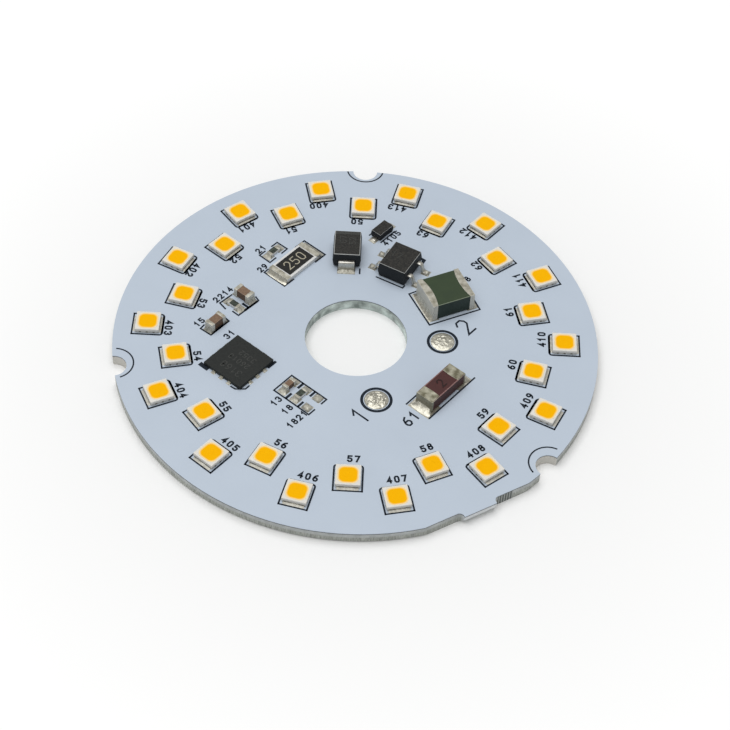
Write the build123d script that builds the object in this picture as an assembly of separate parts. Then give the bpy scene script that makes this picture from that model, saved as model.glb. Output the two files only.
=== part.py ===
from build123d import *
import math
import os

os.makedirs("parts", exist_ok=True)

# Round LED module with its mains driver on board, in millimetres.
# The origin is on the underside of the board, at the middle of its centre hole, and +Z is up.

# Board blank and its layers, from the underside up
board_radius = 30.0
base_thickness = 1.4
dielectric_thickness = 0.1
copper_thickness = 0.07
mask_thickness = 0.03
base_edge_bevel = 0.2
centre_hole_radius = 6.35

# Half-round screw notches on the rim, each behind an inner LED
notch_radius = 1.6
notch_places = (0, 4, 9)

# Flat where the board left its panel, with the stub of the broken tab
flat_depth = 0.83
flat_direction = 301.1
tab_width = 4.3
tab_reach = 0.78
tab_root_round = 0.6
tab_web = 0.75

# LED rings; the circuit was printed a little off the punched outline
leds_in_ring = 14
first_led_direction = 90.0
inner_ring_radius = 22.43
outer_ring_inset = 4.18
circuit_offset = (0.0, 0.39)

# One LED package
led_side = 3.0
led_height = 0.7
led_frame_thickness = 0.2
led_frame_width = 2.7
led_split_place = -0.55
led_split_gap = 0.35
led_cup_mouth = 2.55
led_cup_corner = 0.8
led_cup_slope = 14.0
led_corner_facets = 2
led_meniscus = 0.03

# The driver parts stand along this direction or square to it
layout_direction = 360.0 / 7.0
cross_direction = layout_direction - 90.0

# Each pad below is its length, its width and its reach past the end of the part or lead

# Surge absorber: ceramic block with dipped end caps
absorber_place = (10.95, 6.9)
absorber_direction = layout_direction / 2.0
absorber_size = (5.7, 5.0, 2.5)
absorber_cap_length = 0.62
absorber_cap_bow = 0.35
absorber_pad = (1.5, 5.2, 0.6)
absorber_solder = 0.7

# Fuse: square bar with two end caps
fuse_place = (10.55, -8.3)
fuse_size = (6.3, 2.5, 1.8)
fuse_cap_length = 1.4
fuse_cap_bow = 0.1
fuse_pad = (2.45, 3.3, 1.05)
fuse_solder = 1.2

# Chip capacitors: two large ones and a small one
large_capacitor_size = (2.4, 1.25, 1.25)
large_capacitor_cap_length = 0.5
large_capacitor_pad = (1.0, 1.35, 0.35)
large_capacitor_solder = 0.8
pair_capacitor_place = (-14.3, 5.79)
lone_capacitor_place = (-17.49, 0.82)
small_chip_pad = (1.1, 1.25, 0.7)
small_chip_solder = 0.38
small_capacitor_size = (1.6, 0.85, 0.8)
small_capacitor_cap_length = 0.35
small_capacitor_place = (-7.75, -8.6)

# Chip resistors: one large and three small ones
terminal_plating = 0.04
resistor_coat_thickness = 0.06
large_resistor_place = (-8.37, 12.07)
large_resistor_size = (6.3, 3.2, 0.6)
large_resistor_terminal = 0.75
large_resistor_coat_margins = (0.15, 0.35)
large_resistor_pad = (1.5, 3.3, 0.65)
large_resistor_solder = 0.52
small_resistor_size = (1.6, 0.85, 0.42)
small_resistor_terminal = 0.3
small_resistor_coat_margins = (0.02, 0.03)
pair_resistor_place = (-15.47, 4.31)
lone_resistor_place = (-11.22, 13.95)
group_resistor_place = (-6.24, -9.81)

# Two bare pads left for a part that isn't fitted
spare_place = (-4.77, -10.98)
spare_solder_height = 0.32

# Large moulded diode with J leads
power_diode_place = (-1.73, 14.04)
power_diode_direction = 90.0
power_diode_size = (4.5, 3.6, 2.15)
power_diode_lift = 0.22
power_diode_draft = 7.0
power_diode_lead = (2.05, 0.2)
power_diode_lead_reach = 0.45
power_diode_foot = 1.3
power_diode_pad = (1.9, 2.3, 0.6)

# Small moulded diode with flat leads
small_diode_place = (2.64, 18.42)
small_diode_size = (2.65, 1.6, 1.0)
small_diode_lift = 0.06
small_diode_draft = 6.0
small_diode_lead = (0.55, 0.13)
small_diode_lead_reach = 0.52
small_diode_pad = (0.95, 1.05, 0.35)

# Bridge rectifier with four gull-wing leads
bridge_place = (5.08, 11.95)
bridge_direction = -27.0
bridge_size = (3.9, 4.7, 2.2)
bridge_lift = 0.12
bridge_draft = 6.0
bridge_lead = (0.6, 0.22)
bridge_lead_pitch = 2.54
bridge_lead_rise = 1.15
bridge_lead_shoulder = 0.45
bridge_lead_reach = 1.5
bridge_pad = (1.1, 1.0, 0.25)

# Driver chip: thin moulded slab with three flat leads a side, flush with its underside
chip_place = (-14.09, -5.31)
chip_side = 6.0
chip_height = 0.55
chip_leads_a_side = 3
chip_lead_pitch = 1.27
chip_dimple_radius = 0.3
chip_dimple_depth = 0.05
chip_dimple_inset = 0.95
chip_lead = (0.45, 0.2)
chip_lead_seat = 0.5
chip_lead_reach = 0.08
chip_pad = (0.85, 0.6, 0.3)

# Wire pads with their tinning
wire_pad_radius = 1.5
wire_pad_dome = 0.3
line_pad_place = (2.88, -9.98)
neutral_pad_place = (10.76, -0.06)

# Solder and joints
fillet_waist = 0.36
bare_solder_slope = 40.0
lead_seat = 0.3
bend_ratio = 0.75

# Levels worked out from the layers
copper_level = base_thickness + dielectric_thickness
pad_level = copper_level + copper_thickness
board_top = pad_level + mask_thickness

# Places worked out from the rim and the ring count
flat_distance = board_radius - flat_depth
outer_ring_radius = board_radius - outer_ring_inset
led_step = 360.0 / leds_in_ring


def spot(place, direction, level=board_top):
    """Seat on the board: local +X points along the direction."""
    return Pos(place[0], place[1], level) * Rot(0, 0, direction)


def polar(radius, direction):
    """Point on a ring round the hole."""
    return (radius * math.cos(math.radians(direction)), radius * math.sin(math.radians(direction)))


def block(size, x=0.0, y=0.0, z=0.0):
    """Box with its underside at z."""
    return Pos(x, y, z) * Box(*size, align=(Align.CENTER, Align.CENTER, Align.MIN))


def drafted(outline, level, height, slope):
    """Prism from an outline at a level, up or down by the height, with walls that lean inwards."""
    prism = extrude(Pos(0, 0, level) * outline, height)
    walls = prism.faces().filter_by(Axis.Z, reverse=True)
    return draft(walls, Plane.XY.offset(level), math.copysign(slope, height))


def led_seats():
    """Every LED's seat, inner ring first, with local +X pointing outwards."""
    seats = []
    for radius, half_step in ((inner_ring_radius, 0.0), (outer_ring_radius, 0.5)):
        for number in range(leds_in_ring):
            direction = first_led_direction + (number + half_step) * led_step
            seats.append(Pos(*circuit_offset) * spot(polar(radius, direction), direction))
    return seats


# Board

def blank_outline():
    """Round outline with the panel flat and the tab stub, turned to its place."""
    beyond = Pos(flat_distance + board_radius / 2, 0) * Rectangle(board_radius, 2 * board_radius)
    stub = Pos(flat_distance, 0) * Rectangle(2 * tab_reach, tab_width)
    outline = Circle(board_radius) - beyond + stub
    roots = outline.vertices().sort_by_distance((flat_distance, 0))[:2]
    return Rot(0, 0, flat_direction) * fillet(roots, tab_root_round)


def board_outline():
    """Blank outline less the screw notches and the centre hole."""
    outline = blank_outline() - Circle(centre_hole_radius)
    for place in notch_places:
        rim_point = polar(board_radius, first_led_direction + place * led_step)
        outline -= Pos(*rim_point) * Circle(notch_radius)
    return outline


def layer(outline, level, thickness):
    """Flat layer of the board."""
    return extrude(Pos(0, 0, level) * outline, thickness)


def tab_groove():
    """Wedge that the scoring tool took from under the tab stub."""
    tip = flat_distance + tab_reach
    profile = Polygon((flat_distance, 0), (tip, 0), (tip, board_top - tab_web), align=None)
    return Rot(0, 0, flat_direction) * extrude(Plane.XZ * profile, tab_width, both=True)


def make_base(outline):
    """Aluminium plate with the punched edge broken at the underside."""
    blank = Cylinder(board_radius, base_thickness, align=(Align.CENTER, Align.CENTER, Align.MIN))
    blank = chamfer(blank.edges().group_by(Axis.Z)[0], base_edge_bevel)
    return (layer(outline, 0, base_thickness) & blank) - tab_groove()


# Pads: each entry is a sketch on the board, cut through the mask and filled with copper

def pad_sketch(seat, pad):
    """Rectangular pad of a terminal whose end is at the seat, with local +X pointing outwards."""
    length, width, reach = pad
    return Pos(0, 0, -board_top) * seat * Pos(reach - length / 2, 0) * Rectangle(length, width)


def end_seats(place, direction, length):
    """Seats at both ends of a part, with local +X pointing away from it."""
    return [spot(place, direction) * Rot(0, 0, turn) * Pos(length / 2, 0, 0) for turn in (0, 180)]


def chip_lead_places():
    """Seat of each driver chip lead, with local +X pointing away from the body's wall."""
    places = []
    for side in range(4):
        for number in range(chip_leads_a_side):
            along = (number - (chip_leads_a_side - 1) / 2) * chip_lead_pitch
            turned = Rot(0, 0, 90 * side) * Pos(chip_side / 2, along, 0)
            places.append(spot(chip_place, layout_direction) * turned)
    return places


def bridge_lead_places():
    """Seat of each bridge lead, with local +X pointing away from the body's wall."""
    places = []
    for half_turn in (0, 180):
        for along in (-bridge_lead_pitch / 2, bridge_lead_pitch / 2):
            turned = Rot(0, 0, half_turn) * Pos(bridge_size[0] / 2, along, 0)
            places.append(spot(bridge_place, bridge_direction) * turned)
    return places


def end_capped_parts():
    """Place, direction, size, pad and solder height of each part with a terminal at either end."""
    large_resistor = (large_resistor_size, large_resistor_pad, large_resistor_solder)
    small_resistor = (small_resistor_size, small_chip_pad, small_chip_solder)
    large_capacitor = (large_capacitor_size, large_capacitor_pad, large_capacitor_solder)
    small_capacitor = (small_capacitor_size, small_chip_pad, small_chip_solder)
    return [
        (absorber_place, absorber_direction, absorber_size, absorber_pad, absorber_solder),
        (fuse_place, layout_direction, fuse_size, fuse_pad, fuse_solder),
        (large_resistor_place, layout_direction, *large_resistor),
        (pair_resistor_place, cross_direction, *small_resistor),
        (lone_resistor_place, layout_direction, *small_resistor),
        (group_resistor_place, layout_direction, *small_resistor),
        (pair_capacitor_place, cross_direction, *large_capacitor),
        (lone_capacitor_place, layout_direction, *large_capacitor),
        (small_capacitor_place, layout_direction, *small_capacitor),
    ]


def lead_ends():
    """Seat of each lead's end, its pad and the lead's section, part by part."""
    length = power_diode_size[0] + 2 * power_diode_lead_reach
    ends = [(seat, power_diode_pad, power_diode_lead)
            for seat in end_seats(power_diode_place, power_diode_direction, length)]
    length = small_diode_size[0] + 2 * small_diode_lead_reach
    ends += [(seat, small_diode_pad, small_diode_lead)
             for seat in end_seats(small_diode_place, layout_direction, length)]
    ends += [(seat * Pos(bridge_lead_reach, 0, 0), bridge_pad, bridge_lead) for seat in bridge_lead_places()]
    ends += [(seat * Pos(chip_lead_reach, 0, 0), chip_pad, chip_lead) for seat in chip_lead_places()]
    return ends


def spare_seats():
    """Seats on the two bare pads, where the ends of a small chip would be."""
    return end_seats(spare_place, layout_direction, small_resistor_size[0])


def driver_pads():
    """Pads of every part of the driver."""
    pads = []
    for place, direction, size, pad, _ in end_capped_parts():
        pads += [pad_sketch(seat, pad) for seat in end_seats(place, direction, size[0])]
    pads += [pad_sketch(seat, pad) for seat, pad, _ in lead_ends()]
    pads += [pad_sketch(seat, small_chip_pad) for seat in spare_seats()]
    pads += [Pos(*place) * Circle(wire_pad_radius) for place in (line_pad_place, neutral_pad_place)]
    return pads


# LED package

def cup_outline():
    """Mouth of the cup: a square whose corners are rounded in a few flat facets."""
    centre = led_cup_mouth / 2 - led_cup_corner
    points = []
    for quarter in range(4):
        for step in range(led_corner_facets + 1):
            direction = 90 * quarter + 90 * step / led_corner_facets
            across, along = polar(led_cup_corner, direction)
            side_x = 1 if quarter in (0, 3) else -1
            side_y = 1 if quarter in (0, 1) else -1
            points.append((side_x * centre + across, side_y * centre + along))
    return Polygon(*points, align=None)


def led_cup():
    """Tapered square reflector cup from the rim down to the lead frame."""
    return drafted(cup_outline(), led_height, led_frame_thickness - led_height, led_cup_slope)


def led_frame_plates():
    """The two plates of the lead frame, flush with the package's ends."""
    half = led_side / 2
    split_inner = led_split_place - led_split_gap / 2
    split_outer = led_split_place + led_split_gap / 2
    plates = []
    for start, end in ((-half, split_inner), (split_outer, half)):
        plates.append(block((end - start, led_frame_width, led_frame_thickness), x=(start + end) / 2))
    return plates


def led_housing():
    """Moulded housing round the cup and the lead frame."""
    housing = block((led_side, led_side, led_height)) - led_cup()
    for plate in led_frame_plates():
        housing -= plate
    return housing


def led_filling():
    """Phosphor filling, a little below the rim."""
    kept = block((led_side, led_side, led_height - led_meniscus))
    return led_cup() & kept


# Chips with end caps

def capped_body(size):
    """Ceramic block inside its end caps."""
    length, width, height = (side - 2 * terminal_plating for side in size)
    return block((length, width, height), z=terminal_plating)


def end_caps(size, cap_length, bow=0.0):
    """Two metal caps, whose edges bow inwards along a large block."""
    shell = block(size) - capped_body(size)
    caps = []
    for side in (-1, 1):
        if bow:
            bow_radius = (size[1] ** 2 / 4 + bow ** 2) / (2 * bow)
            centre = side * (size[0] / 2 - cap_length - bow + bow_radius)
            reach = Pos(centre, 0, size[2] / 2) * Cylinder(bow_radius, size[2] * 2)
            reach &= block((size[0], size[1] * 2, size[2]), x=side * size[0] / 2)
        else:
            reach = block((cap_length, size[1], size[2]), x=side * (size[0] - cap_length) / 2)
        caps.append(shell & reach)
    return caps


# Chip resistors

def resistor_substrate(size):
    """White ceramic plate between the platings."""
    return block((size[0] - 2 * terminal_plating, size[1], size[2] - 2 * terminal_plating), z=terminal_plating)


def resistor_terminals(size, terminal):
    """Plating wrapped round both ends of the plate."""
    ends = []
    for side in (-1, 1):
        wrap = block((terminal, size[1], size[2]), x=side * (size[0] - terminal) / 2)
        ends.append(wrap - resistor_substrate(size))
    return ends


def resistor_coat(size, terminal, margins):
    """Protective overcoat on the top face, kept off the terminals and the plate's long sides."""
    end_margin, side_margin = margins
    length = size[0] - 2 * terminal - 2 * end_margin
    return block((length, size[1] - 2 * side_margin, resistor_coat_thickness), z=size[2] - terminal_plating)


# Moulded bodies and bent leads

def moulded_body(size, lift, slope):
    """Body with draft above and below its parting line."""
    half_height = size[2] / 2
    parting_line = lift + half_height
    section = Rectangle(size[0], size[1])
    upper = drafted(section, parting_line, half_height, slope)
    return upper + drafted(section, parting_line, -half_height, slope)


def bent_strip(points, lead, rounded=False):
    """Flat strip bent along points in the XZ plane, its width along Y."""
    corners = [(x, 0, z) for x, z in points]
    path = FilletPolyline(*corners, radius=lead[1] * bend_ratio) if rounded else Polyline(*corners)
    start = Plane(origin=path @ 0, x_dir=(0, 1, 0), z_dir=path % 0)
    return sweep(start * Rectangle(lead[0], lead[1]), path=path, transition=Transition.RIGHT)


def j_lead(seat_rise, reach, foot, lead):
    """Lead from the parting line, down and back under the body: x = 0 is the body's end."""
    outer = reach - lead[1] / 2
    sole = lead[1] / 2
    points = [(-lead_seat, seat_rise), (outer, seat_rise), (outer, sole), (outer - foot, sole)]
    return bent_strip(points, lead, rounded=True)


def gull_lead(seat_rise, shoulder, reach, lead):
    """Lead that steps down to a foot on the board: x = 0 is the body's wall."""
    sole = lead[1] / 2
    points = [(-lead_seat, seat_rise), (shoulder, seat_rise), (shoulder + lead[1], sole), (reach, sole)]
    return bent_strip(points, lead)


# Solder

def joint(width, pad, height):
    """Solder under a terminal and its concave fillet outside: x = 0 is the terminal's end face."""
    length, _, reach = pad
    under = reach - length
    drop = -mask_thickness
    waist = (reach * fillet_waist, height * fillet_waist)
    profile = Polygon((0, height), (0, 0), (under, 0), (under, drop), (reach, drop), (reach, 0), waist,
                      align=None)
    return extrude(Plane.XZ * profile, width / 2, both=True)


def bare_pad_solder(outline, height):
    """Solder left standing on a bare pad, drawn in towards its top."""
    return drafted(outline, -mask_thickness, mask_thickness + height, bare_solder_slope)


def driver_joints():
    """Joints of every terminal and lead of the driver, and the solder on the two bare pads."""
    joints = []
    for place, direction, size, pad, height in end_capped_parts():
        single = joint(size[1], pad, height)
        joints += [seat * single for seat in end_seats(place, direction, size[0])]
    joints += [seat * joint(lead[0], pad, lead[1]) for seat, pad, lead in lead_ends()]
    length, width, reach = small_chip_pad
    blob = bare_pad_solder(Rectangle(length, width), spare_solder_height)
    joints += [seat * Pos(reach - length / 2, 0, 0) * blob for seat in spare_seats()]
    return joints


# Driver chip

def chip_body():
    """Slab with a dimple at its first lead."""
    body = block((chip_side, chip_side, chip_height))
    corner = chip_side / 2 - chip_dimple_inset
    dimple = Circle(chip_dimple_radius)
    return body - extrude(Pos(-corner, -corner, chip_height) * dimple, -chip_dimple_depth)


def chip_leads():
    """Flat leads that just show past the walls."""
    middle = (chip_lead_reach - chip_lead_seat) / 2
    single = block((chip_lead_reach + chip_lead_seat, *chip_lead), x=middle)
    return [seat * single for seat in chip_lead_places()]


# Output

def save(shape, name):
    """Write one node."""
    export_step(shape, f"parts/{name}.step")


def group(shapes):
    """Several separate solids in one node."""
    solids = []
    for shape in shapes:
        solids += shape.solids()
    return Compound(children=solids)


def write_board():
    """Base plate, dielectric, copper pads and solder mask."""
    outline = board_outline()
    pads = driver_pads()
    save(make_base(outline), "aluminium_base")
    save(layer(outline, base_thickness, dielectric_thickness), "dielectric_layer")
    save(group([layer(pad, copper_level, copper_thickness) for pad in pads]), "copper_pads")
    openings = [layer(pad, copper_level, board_top - copper_level) for pad in pads]
    save(layer(outline, copper_level, board_top - copper_level) - openings, "solder_mask")


def write_leds():
    """One housing a node, with all fillings and all lead frames as groups."""
    housing = led_housing()
    filling = led_filling()
    plates = led_frame_plates()
    seats = led_seats()
    for number, seat in enumerate(seats, start=1):
        save(seat * housing, f"led_housing_{number:02d}")
    save(group([seat * filling for seat in seats]), "led_phosphor_fillings")
    save(group([seat * plate for seat in seats for plate in plates]), "led_lead_frames")


def write_capped(name, place, direction, size, cap_length, bow=0.0):
    """Ceramic body and end caps of one part."""
    seat = spot(place, direction)
    save(seat * capped_body(size), f"{name}_body")
    save(group([seat * cap for cap in end_caps(size, cap_length, bow)]), f"{name}_end_caps")


def write_capacitors():
    """Three chip capacitors."""
    large = (large_capacitor_size, large_capacitor_cap_length)
    small = (small_capacitor_size, small_capacitor_cap_length)
    write_capped("pair_capacitor", pair_capacitor_place, cross_direction, *large)
    write_capped("lone_capacitor", lone_capacitor_place, layout_direction, *large)
    write_capped("small_capacitor", small_capacitor_place, layout_direction, *small)


def write_resistors():
    """Large chip resistor, and the three small ones as groups."""
    seat = spot(large_resistor_place, layout_direction)
    save(seat * resistor_substrate(large_resistor_size), "large_resistor_substrate")
    coat = resistor_coat(large_resistor_size, large_resistor_terminal, large_resistor_coat_margins)
    save(seat * coat, "large_resistor_overcoat")
    ends = resistor_terminals(large_resistor_size, large_resistor_terminal)
    save(group([seat * end for end in ends]), "large_resistor_terminals")
    seats = [spot(pair_resistor_place, cross_direction), spot(lone_resistor_place, layout_direction),
             spot(group_resistor_place, layout_direction)]
    ends = resistor_terminals(small_resistor_size, small_resistor_terminal)
    coat = resistor_coat(small_resistor_size, small_resistor_terminal, small_resistor_coat_margins)
    save(group([seat * resistor_substrate(small_resistor_size) for seat in seats]), "small_resistor_substrates")
    save(group([seat * coat for seat in seats]), "small_resistor_overcoats")
    save(group([seat * end for seat in seats for end in ends]), "small_resistor_terminals")


def write_moulded(name, body, leads):
    """Moulded body cast round its leads, and the leads as a group."""
    for lead in leads:
        body -= lead
    save(body, f"{name}_body")
    save(group(leads), f"{name}_leads")


def write_diodes():
    """Large and small moulded diodes."""
    seat = spot(power_diode_place, power_diode_direction)
    rise = power_diode_lift + power_diode_size[2] / 2
    lead = j_lead(rise, power_diode_lead_reach, power_diode_foot, power_diode_lead)
    body = moulded_body(power_diode_size, power_diode_lift, power_diode_draft)
    leads = [end * lead for end in end_seats(power_diode_place, power_diode_direction, power_diode_size[0])]
    write_moulded("power_diode", seat * body, leads)
    seat = spot(small_diode_place, layout_direction)
    lead = block((small_diode_lead_reach + lead_seat, *small_diode_lead),
                 x=(small_diode_lead_reach - lead_seat) / 2)
    body = moulded_body(small_diode_size, small_diode_lift, small_diode_draft)
    leads = [end * lead for end in end_seats(small_diode_place, layout_direction, small_diode_size[0])]
    write_moulded("small_diode", seat * body, leads)


def write_bridge():
    """Bridge rectifier."""
    body = spot(bridge_place, bridge_direction) * moulded_body(bridge_size, bridge_lift, bridge_draft)
    lead = gull_lead(bridge_lift + bridge_lead_rise, bridge_lead_shoulder, bridge_lead_reach, bridge_lead)
    write_moulded("bridge_rectifier", body, [seat * lead for seat in bridge_lead_places()])


def write_chip():
    """Driver chip."""
    write_moulded("driver_chip", spot(chip_place, layout_direction) * chip_body(), chip_leads())


def write_solder():
    """Joints of the driver parts, and the tinning of the two wire pads."""
    save(group(driver_joints()), "solder_joints")
    tinning = bare_pad_solder(Circle(wire_pad_radius), wire_pad_dome)
    tinned = [Pos(*place, board_top) * tinning for place in (line_pad_place, neutral_pad_place)]
    save(group(tinned), "wire_pad_tinning")


write_board()
write_leds()
write_capped("surge_absorber", absorber_place, absorber_direction, absorber_size,
             absorber_cap_length, absorber_cap_bow)
write_capped("fuse", fuse_place, layout_direction, fuse_size, fuse_cap_length, fuse_cap_bow)
write_capacitors()
write_resistors()
write_diodes()
write_bridge()
write_chip()
write_solder()
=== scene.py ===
# %% [markdown]
# A round LED board, dressed for a studio picture.
# The solids come from a CAD model that has already been packed as a fixed frame. This file never moves
# them: it gives each one a finish, or puts a more detailed piece in its place.
# Lengths on the board are easier to read in millimetres, so the pieces are drawn in millimetres and
# brought down to metres, which is Blender's unit here, by one scale.

# %% Load the frame
import bpy
import bmesh
import math
from mathutils import Matrix, Vector, noise


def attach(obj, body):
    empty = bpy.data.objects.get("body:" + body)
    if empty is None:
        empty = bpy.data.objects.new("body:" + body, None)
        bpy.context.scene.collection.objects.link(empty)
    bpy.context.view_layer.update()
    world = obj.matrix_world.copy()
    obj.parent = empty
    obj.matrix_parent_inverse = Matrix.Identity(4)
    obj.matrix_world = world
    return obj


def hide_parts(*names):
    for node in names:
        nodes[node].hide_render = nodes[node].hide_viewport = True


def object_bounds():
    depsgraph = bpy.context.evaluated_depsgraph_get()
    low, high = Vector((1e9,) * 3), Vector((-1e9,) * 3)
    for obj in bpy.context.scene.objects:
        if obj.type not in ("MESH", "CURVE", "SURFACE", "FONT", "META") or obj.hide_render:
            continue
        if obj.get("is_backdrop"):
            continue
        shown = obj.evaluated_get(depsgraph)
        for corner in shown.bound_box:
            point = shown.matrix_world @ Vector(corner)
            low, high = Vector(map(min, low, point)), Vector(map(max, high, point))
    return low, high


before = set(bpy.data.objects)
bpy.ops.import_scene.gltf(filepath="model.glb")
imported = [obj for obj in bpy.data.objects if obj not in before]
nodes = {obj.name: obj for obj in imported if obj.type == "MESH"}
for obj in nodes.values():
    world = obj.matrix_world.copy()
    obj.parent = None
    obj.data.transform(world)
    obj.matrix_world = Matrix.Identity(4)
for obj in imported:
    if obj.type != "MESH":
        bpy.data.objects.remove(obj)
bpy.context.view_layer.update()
scene = bpy.context.scene
MM = 0.001
BOARD_TOP = 1.6

# %% [markdown]
# The photograph was taken with a long lens from about 49 degrees above the board, leaning over by three
# degrees. A camera could be placed by eye, but fitting it to the board's rim, its hole and both LED rings
# gives the lens and the place exactly, so the fitted values are written here.

# %% Camera
SENSOR_WIDTH = 36.0
CLIP_RANGE = (0.01, 10.0)
CAMERA_FOCAL = 91.97
CAMERA_ELEVATION = 48.8242
CAMERA_ROLL = 2.9445
CAMERA_OFFSET = (-0.0372796, -0.1149564, 7.7003769)
BOARD_RADIUS = 30.0


def aim_camera():
    """Camera whose axes are the fitted view's right, down and forward directions."""
    tilt = math.radians(CAMERA_ELEVATION)
    roll = math.radians(CAMERA_ROLL)
    forward = Vector((0.0, math.cos(tilt), -math.sin(tilt)))
    level_right = Vector((1.0, 0.0, 0.0))
    level_down = forward.cross(level_right)
    right = math.cos(roll) * level_right - math.sin(roll) * level_down
    down = math.sin(roll) * level_right + math.cos(roll) * level_down
    place = sum((axis * -BOARD_RADIUS * share for axis, share in zip((right, down, forward), CAMERA_OFFSET)),
                Vector((0.0, 0.0, BOARD_TOP)))
    turn = Matrix((right, -down, -forward)).transposed().to_4x4()
    lens = bpy.data.cameras.new("photo_lens")
    lens.lens = CAMERA_FOCAL
    lens.sensor_width = SENSOR_WIDTH
    lens.clip_start, lens.clip_end = CLIP_RANGE
    camera = bpy.data.objects.new("photo_camera", lens)
    camera.matrix_world = Matrix.Translation(place * MM) @ turn
    scene.collection.objects.link(camera)
    scene.camera = camera
    return camera


camera = aim_camera()
print("camera at", [round(value, 4) for value in camera.location])

# %% [markdown]
# Small electronic parts are photographed on a white sweep under one large softbox overhead. A white world
# alone would light the walls of the parts as brightly as their tops, so it only fills in, and a wide lamp
# above the board does most of the work. The two together light a level surface at about 1, so a colour
# renders about as it is written, and a wall gets about half of that. Away from the board the picture fades
# to pure white: the floor glows a little there, but only the camera and reflections see that glow, so it
# doesn't light anything.

# %% Floor and light
WHITE = (1.0, 1.0, 1.0, 1.0)
FLOOR_WHITE = (0.955, 0.957, 0.953, 1.0)
FLOOR_ROUGHNESS = 0.9
FLOOR_SIZE = 3.0
GLOW_REACH = (0.02, 0.07)
GLOW = 0.14
WORLD_STRENGTH = 0.4
KEY_POWER = 4.0
KEY_SIZE = (0.9, 0.7)
KEY_PLACE = (-0.1, 0.04, 0.72)


def add_node(tree, kind, inputs=None, **settings):
    """Add a shader node, set its properties, then set or link its inputs by name or number."""
    node = tree.nodes.new("ShaderNode" + kind)
    for label, value in settings.items():
        setattr(node, label, value)
    for label, value in (inputs or {}).items():
        if isinstance(value, bpy.types.NodeSocket):
            tree.links.new(value, node.inputs[label])
        else:
            node.inputs[label].default_value = value
    return node


def math_node(tree, operation, *values, clamp=False):
    """Result of a Math node whose inputs are numbers or sockets."""
    return add_node(tree, "Math", dict(enumerate(values)), operation=operation, use_clamp=clamp).outputs[0]


def vector_node(tree, operation, result, *values):
    """One result of a Vector Math node whose inputs are vectors or sockets."""
    return add_node(tree, "VectorMath", dict(enumerate(values)), operation=operation).outputs[result]


def span_node(tree, value, start, end, low=0.0, high=1.0):
    """Socket that runs from low to high while a value runs from start to end."""
    inputs = {"Value": value, "From Min": start, "From Max": end, "To Min": low, "To Max": high}
    return add_node(tree, "MapRange", inputs).outputs["Result"]


def object_place(tree):
    """Place on the piece, in metres, as a socket."""
    return add_node(tree, "TexCoord").outputs["Object"]


def far_glow(finish):
    """Make the floor whiter away from the board, for the camera and reflections only."""
    tree = finish.node_tree
    shader = tree.nodes["Principled BSDF"]
    reach = vector_node(tree, "LENGTH", "Value", object_place(tree))
    rays = add_node(tree, "LightPath").outputs
    seen = math_node(tree, "ADD", rays["Is Camera Ray"], rays["Is Glossy Ray"], clamp=True)
    strength = math_node(tree, "MULTIPLY", seen, span_node(tree, reach, *GLOW_REACH, high=GLOW))
    shader.inputs["Emission Color"].default_value = WHITE
    tree.links.new(strength, shader.inputs["Emission Strength"])


def studio_floor():
    """Large level floor under the board, with a white that keeps the board's shadow."""
    half = FLOOR_SIZE / 2
    mesh = bpy.data.meshes.new("studio_floor")
    corners = [(-half, -half, 0), (half, -half, 0), (half, half, 0), (-half, half, 0)]
    mesh.from_pydata(corners, [], [(0, 1, 2, 3)])
    floor = bpy.data.objects.new("studio_floor", mesh)
    floor.location.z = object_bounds()[0][2]
    scene.collection.objects.link(floor)
    finish = bpy.data.materials.new("studio_white")
    finish.use_nodes = True
    shader = finish.node_tree.nodes["Principled BSDF"]
    shader.inputs["Base Color"].default_value = FLOOR_WHITE
    shader.inputs["Roughness"].default_value = FLOOR_ROUGHNESS
    shader.inputs["Specular IOR Level"].default_value = 0.0
    far_glow(finish)
    mesh.materials.append(finish)
    floor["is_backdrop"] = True
    return floor


def studio_light():
    """White world for fill and one large lamp for direction."""
    world = bpy.data.worlds.new("studio_world")
    world.use_nodes = True
    sky = world.node_tree.nodes["Background"]
    sky.inputs["Color"].default_value = WHITE
    sky.inputs["Strength"].default_value = WORLD_STRENGTH
    scene.world = world
    lamp = bpy.data.lights.new("key_softbox", "AREA")
    lamp.shape = "RECTANGLE"
    lamp.size, lamp.size_y = KEY_SIZE
    lamp.energy = KEY_POWER
    softbox = bpy.data.objects.new("key_softbox", lamp)
    softbox.location = KEY_PLACE
    aim = Vector((0.0, 0.0, 0.0)) - softbox.location
    softbox.rotation_euler = aim.to_track_quat("-Z", "Y").to_euler()
    scene.collection.objects.link(softbox)
    return softbox


floor = studio_floor()
softbox = studio_light()
scene.view_settings.view_transform = "Standard"
print("floor at", floor.location.z, "lamp at", tuple(softbox.location))

# %% [markdown]
# Real finishes are never one colour. Two effects are needed again and again: soft patches of a second
# colour, and a fine grain in the surface and its gloss. Each could be drawn anew in every material, but a
# node group with named sockets is built once and tuned in each place.

# %% Patches and grain
PLAIN_GREY = (0.8, 0.8, 0.8, 1.0)
SECOND_GREY = (0.7, 0.7, 0.7, 1.0)
GRAIN_SPAN = (0.3, 0.7)
SOCKET_KINDS = {"value": "NodeSocketFloat", "colour": "NodeSocketColor"}


def new_group(name, inputs, outputs):
    """Empty node group with value or colour sockets; returns the group, its inputs and its outputs."""
    group = bpy.data.node_groups.new(name, "ShaderNodeTree")
    for label, kind, start in inputs:
        socket = group.interface.new_socket(name=label, in_out="INPUT", socket_type=SOCKET_KINDS[kind])
        socket.default_value = start
    for label, kind in outputs:
        group.interface.new_socket(name=label, in_out="OUTPUT", socket_type=SOCKET_KINDS[kind])
    return group, group.nodes.new("NodeGroupInput").outputs, group.nodes.new("NodeGroupOutput").inputs


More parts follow.
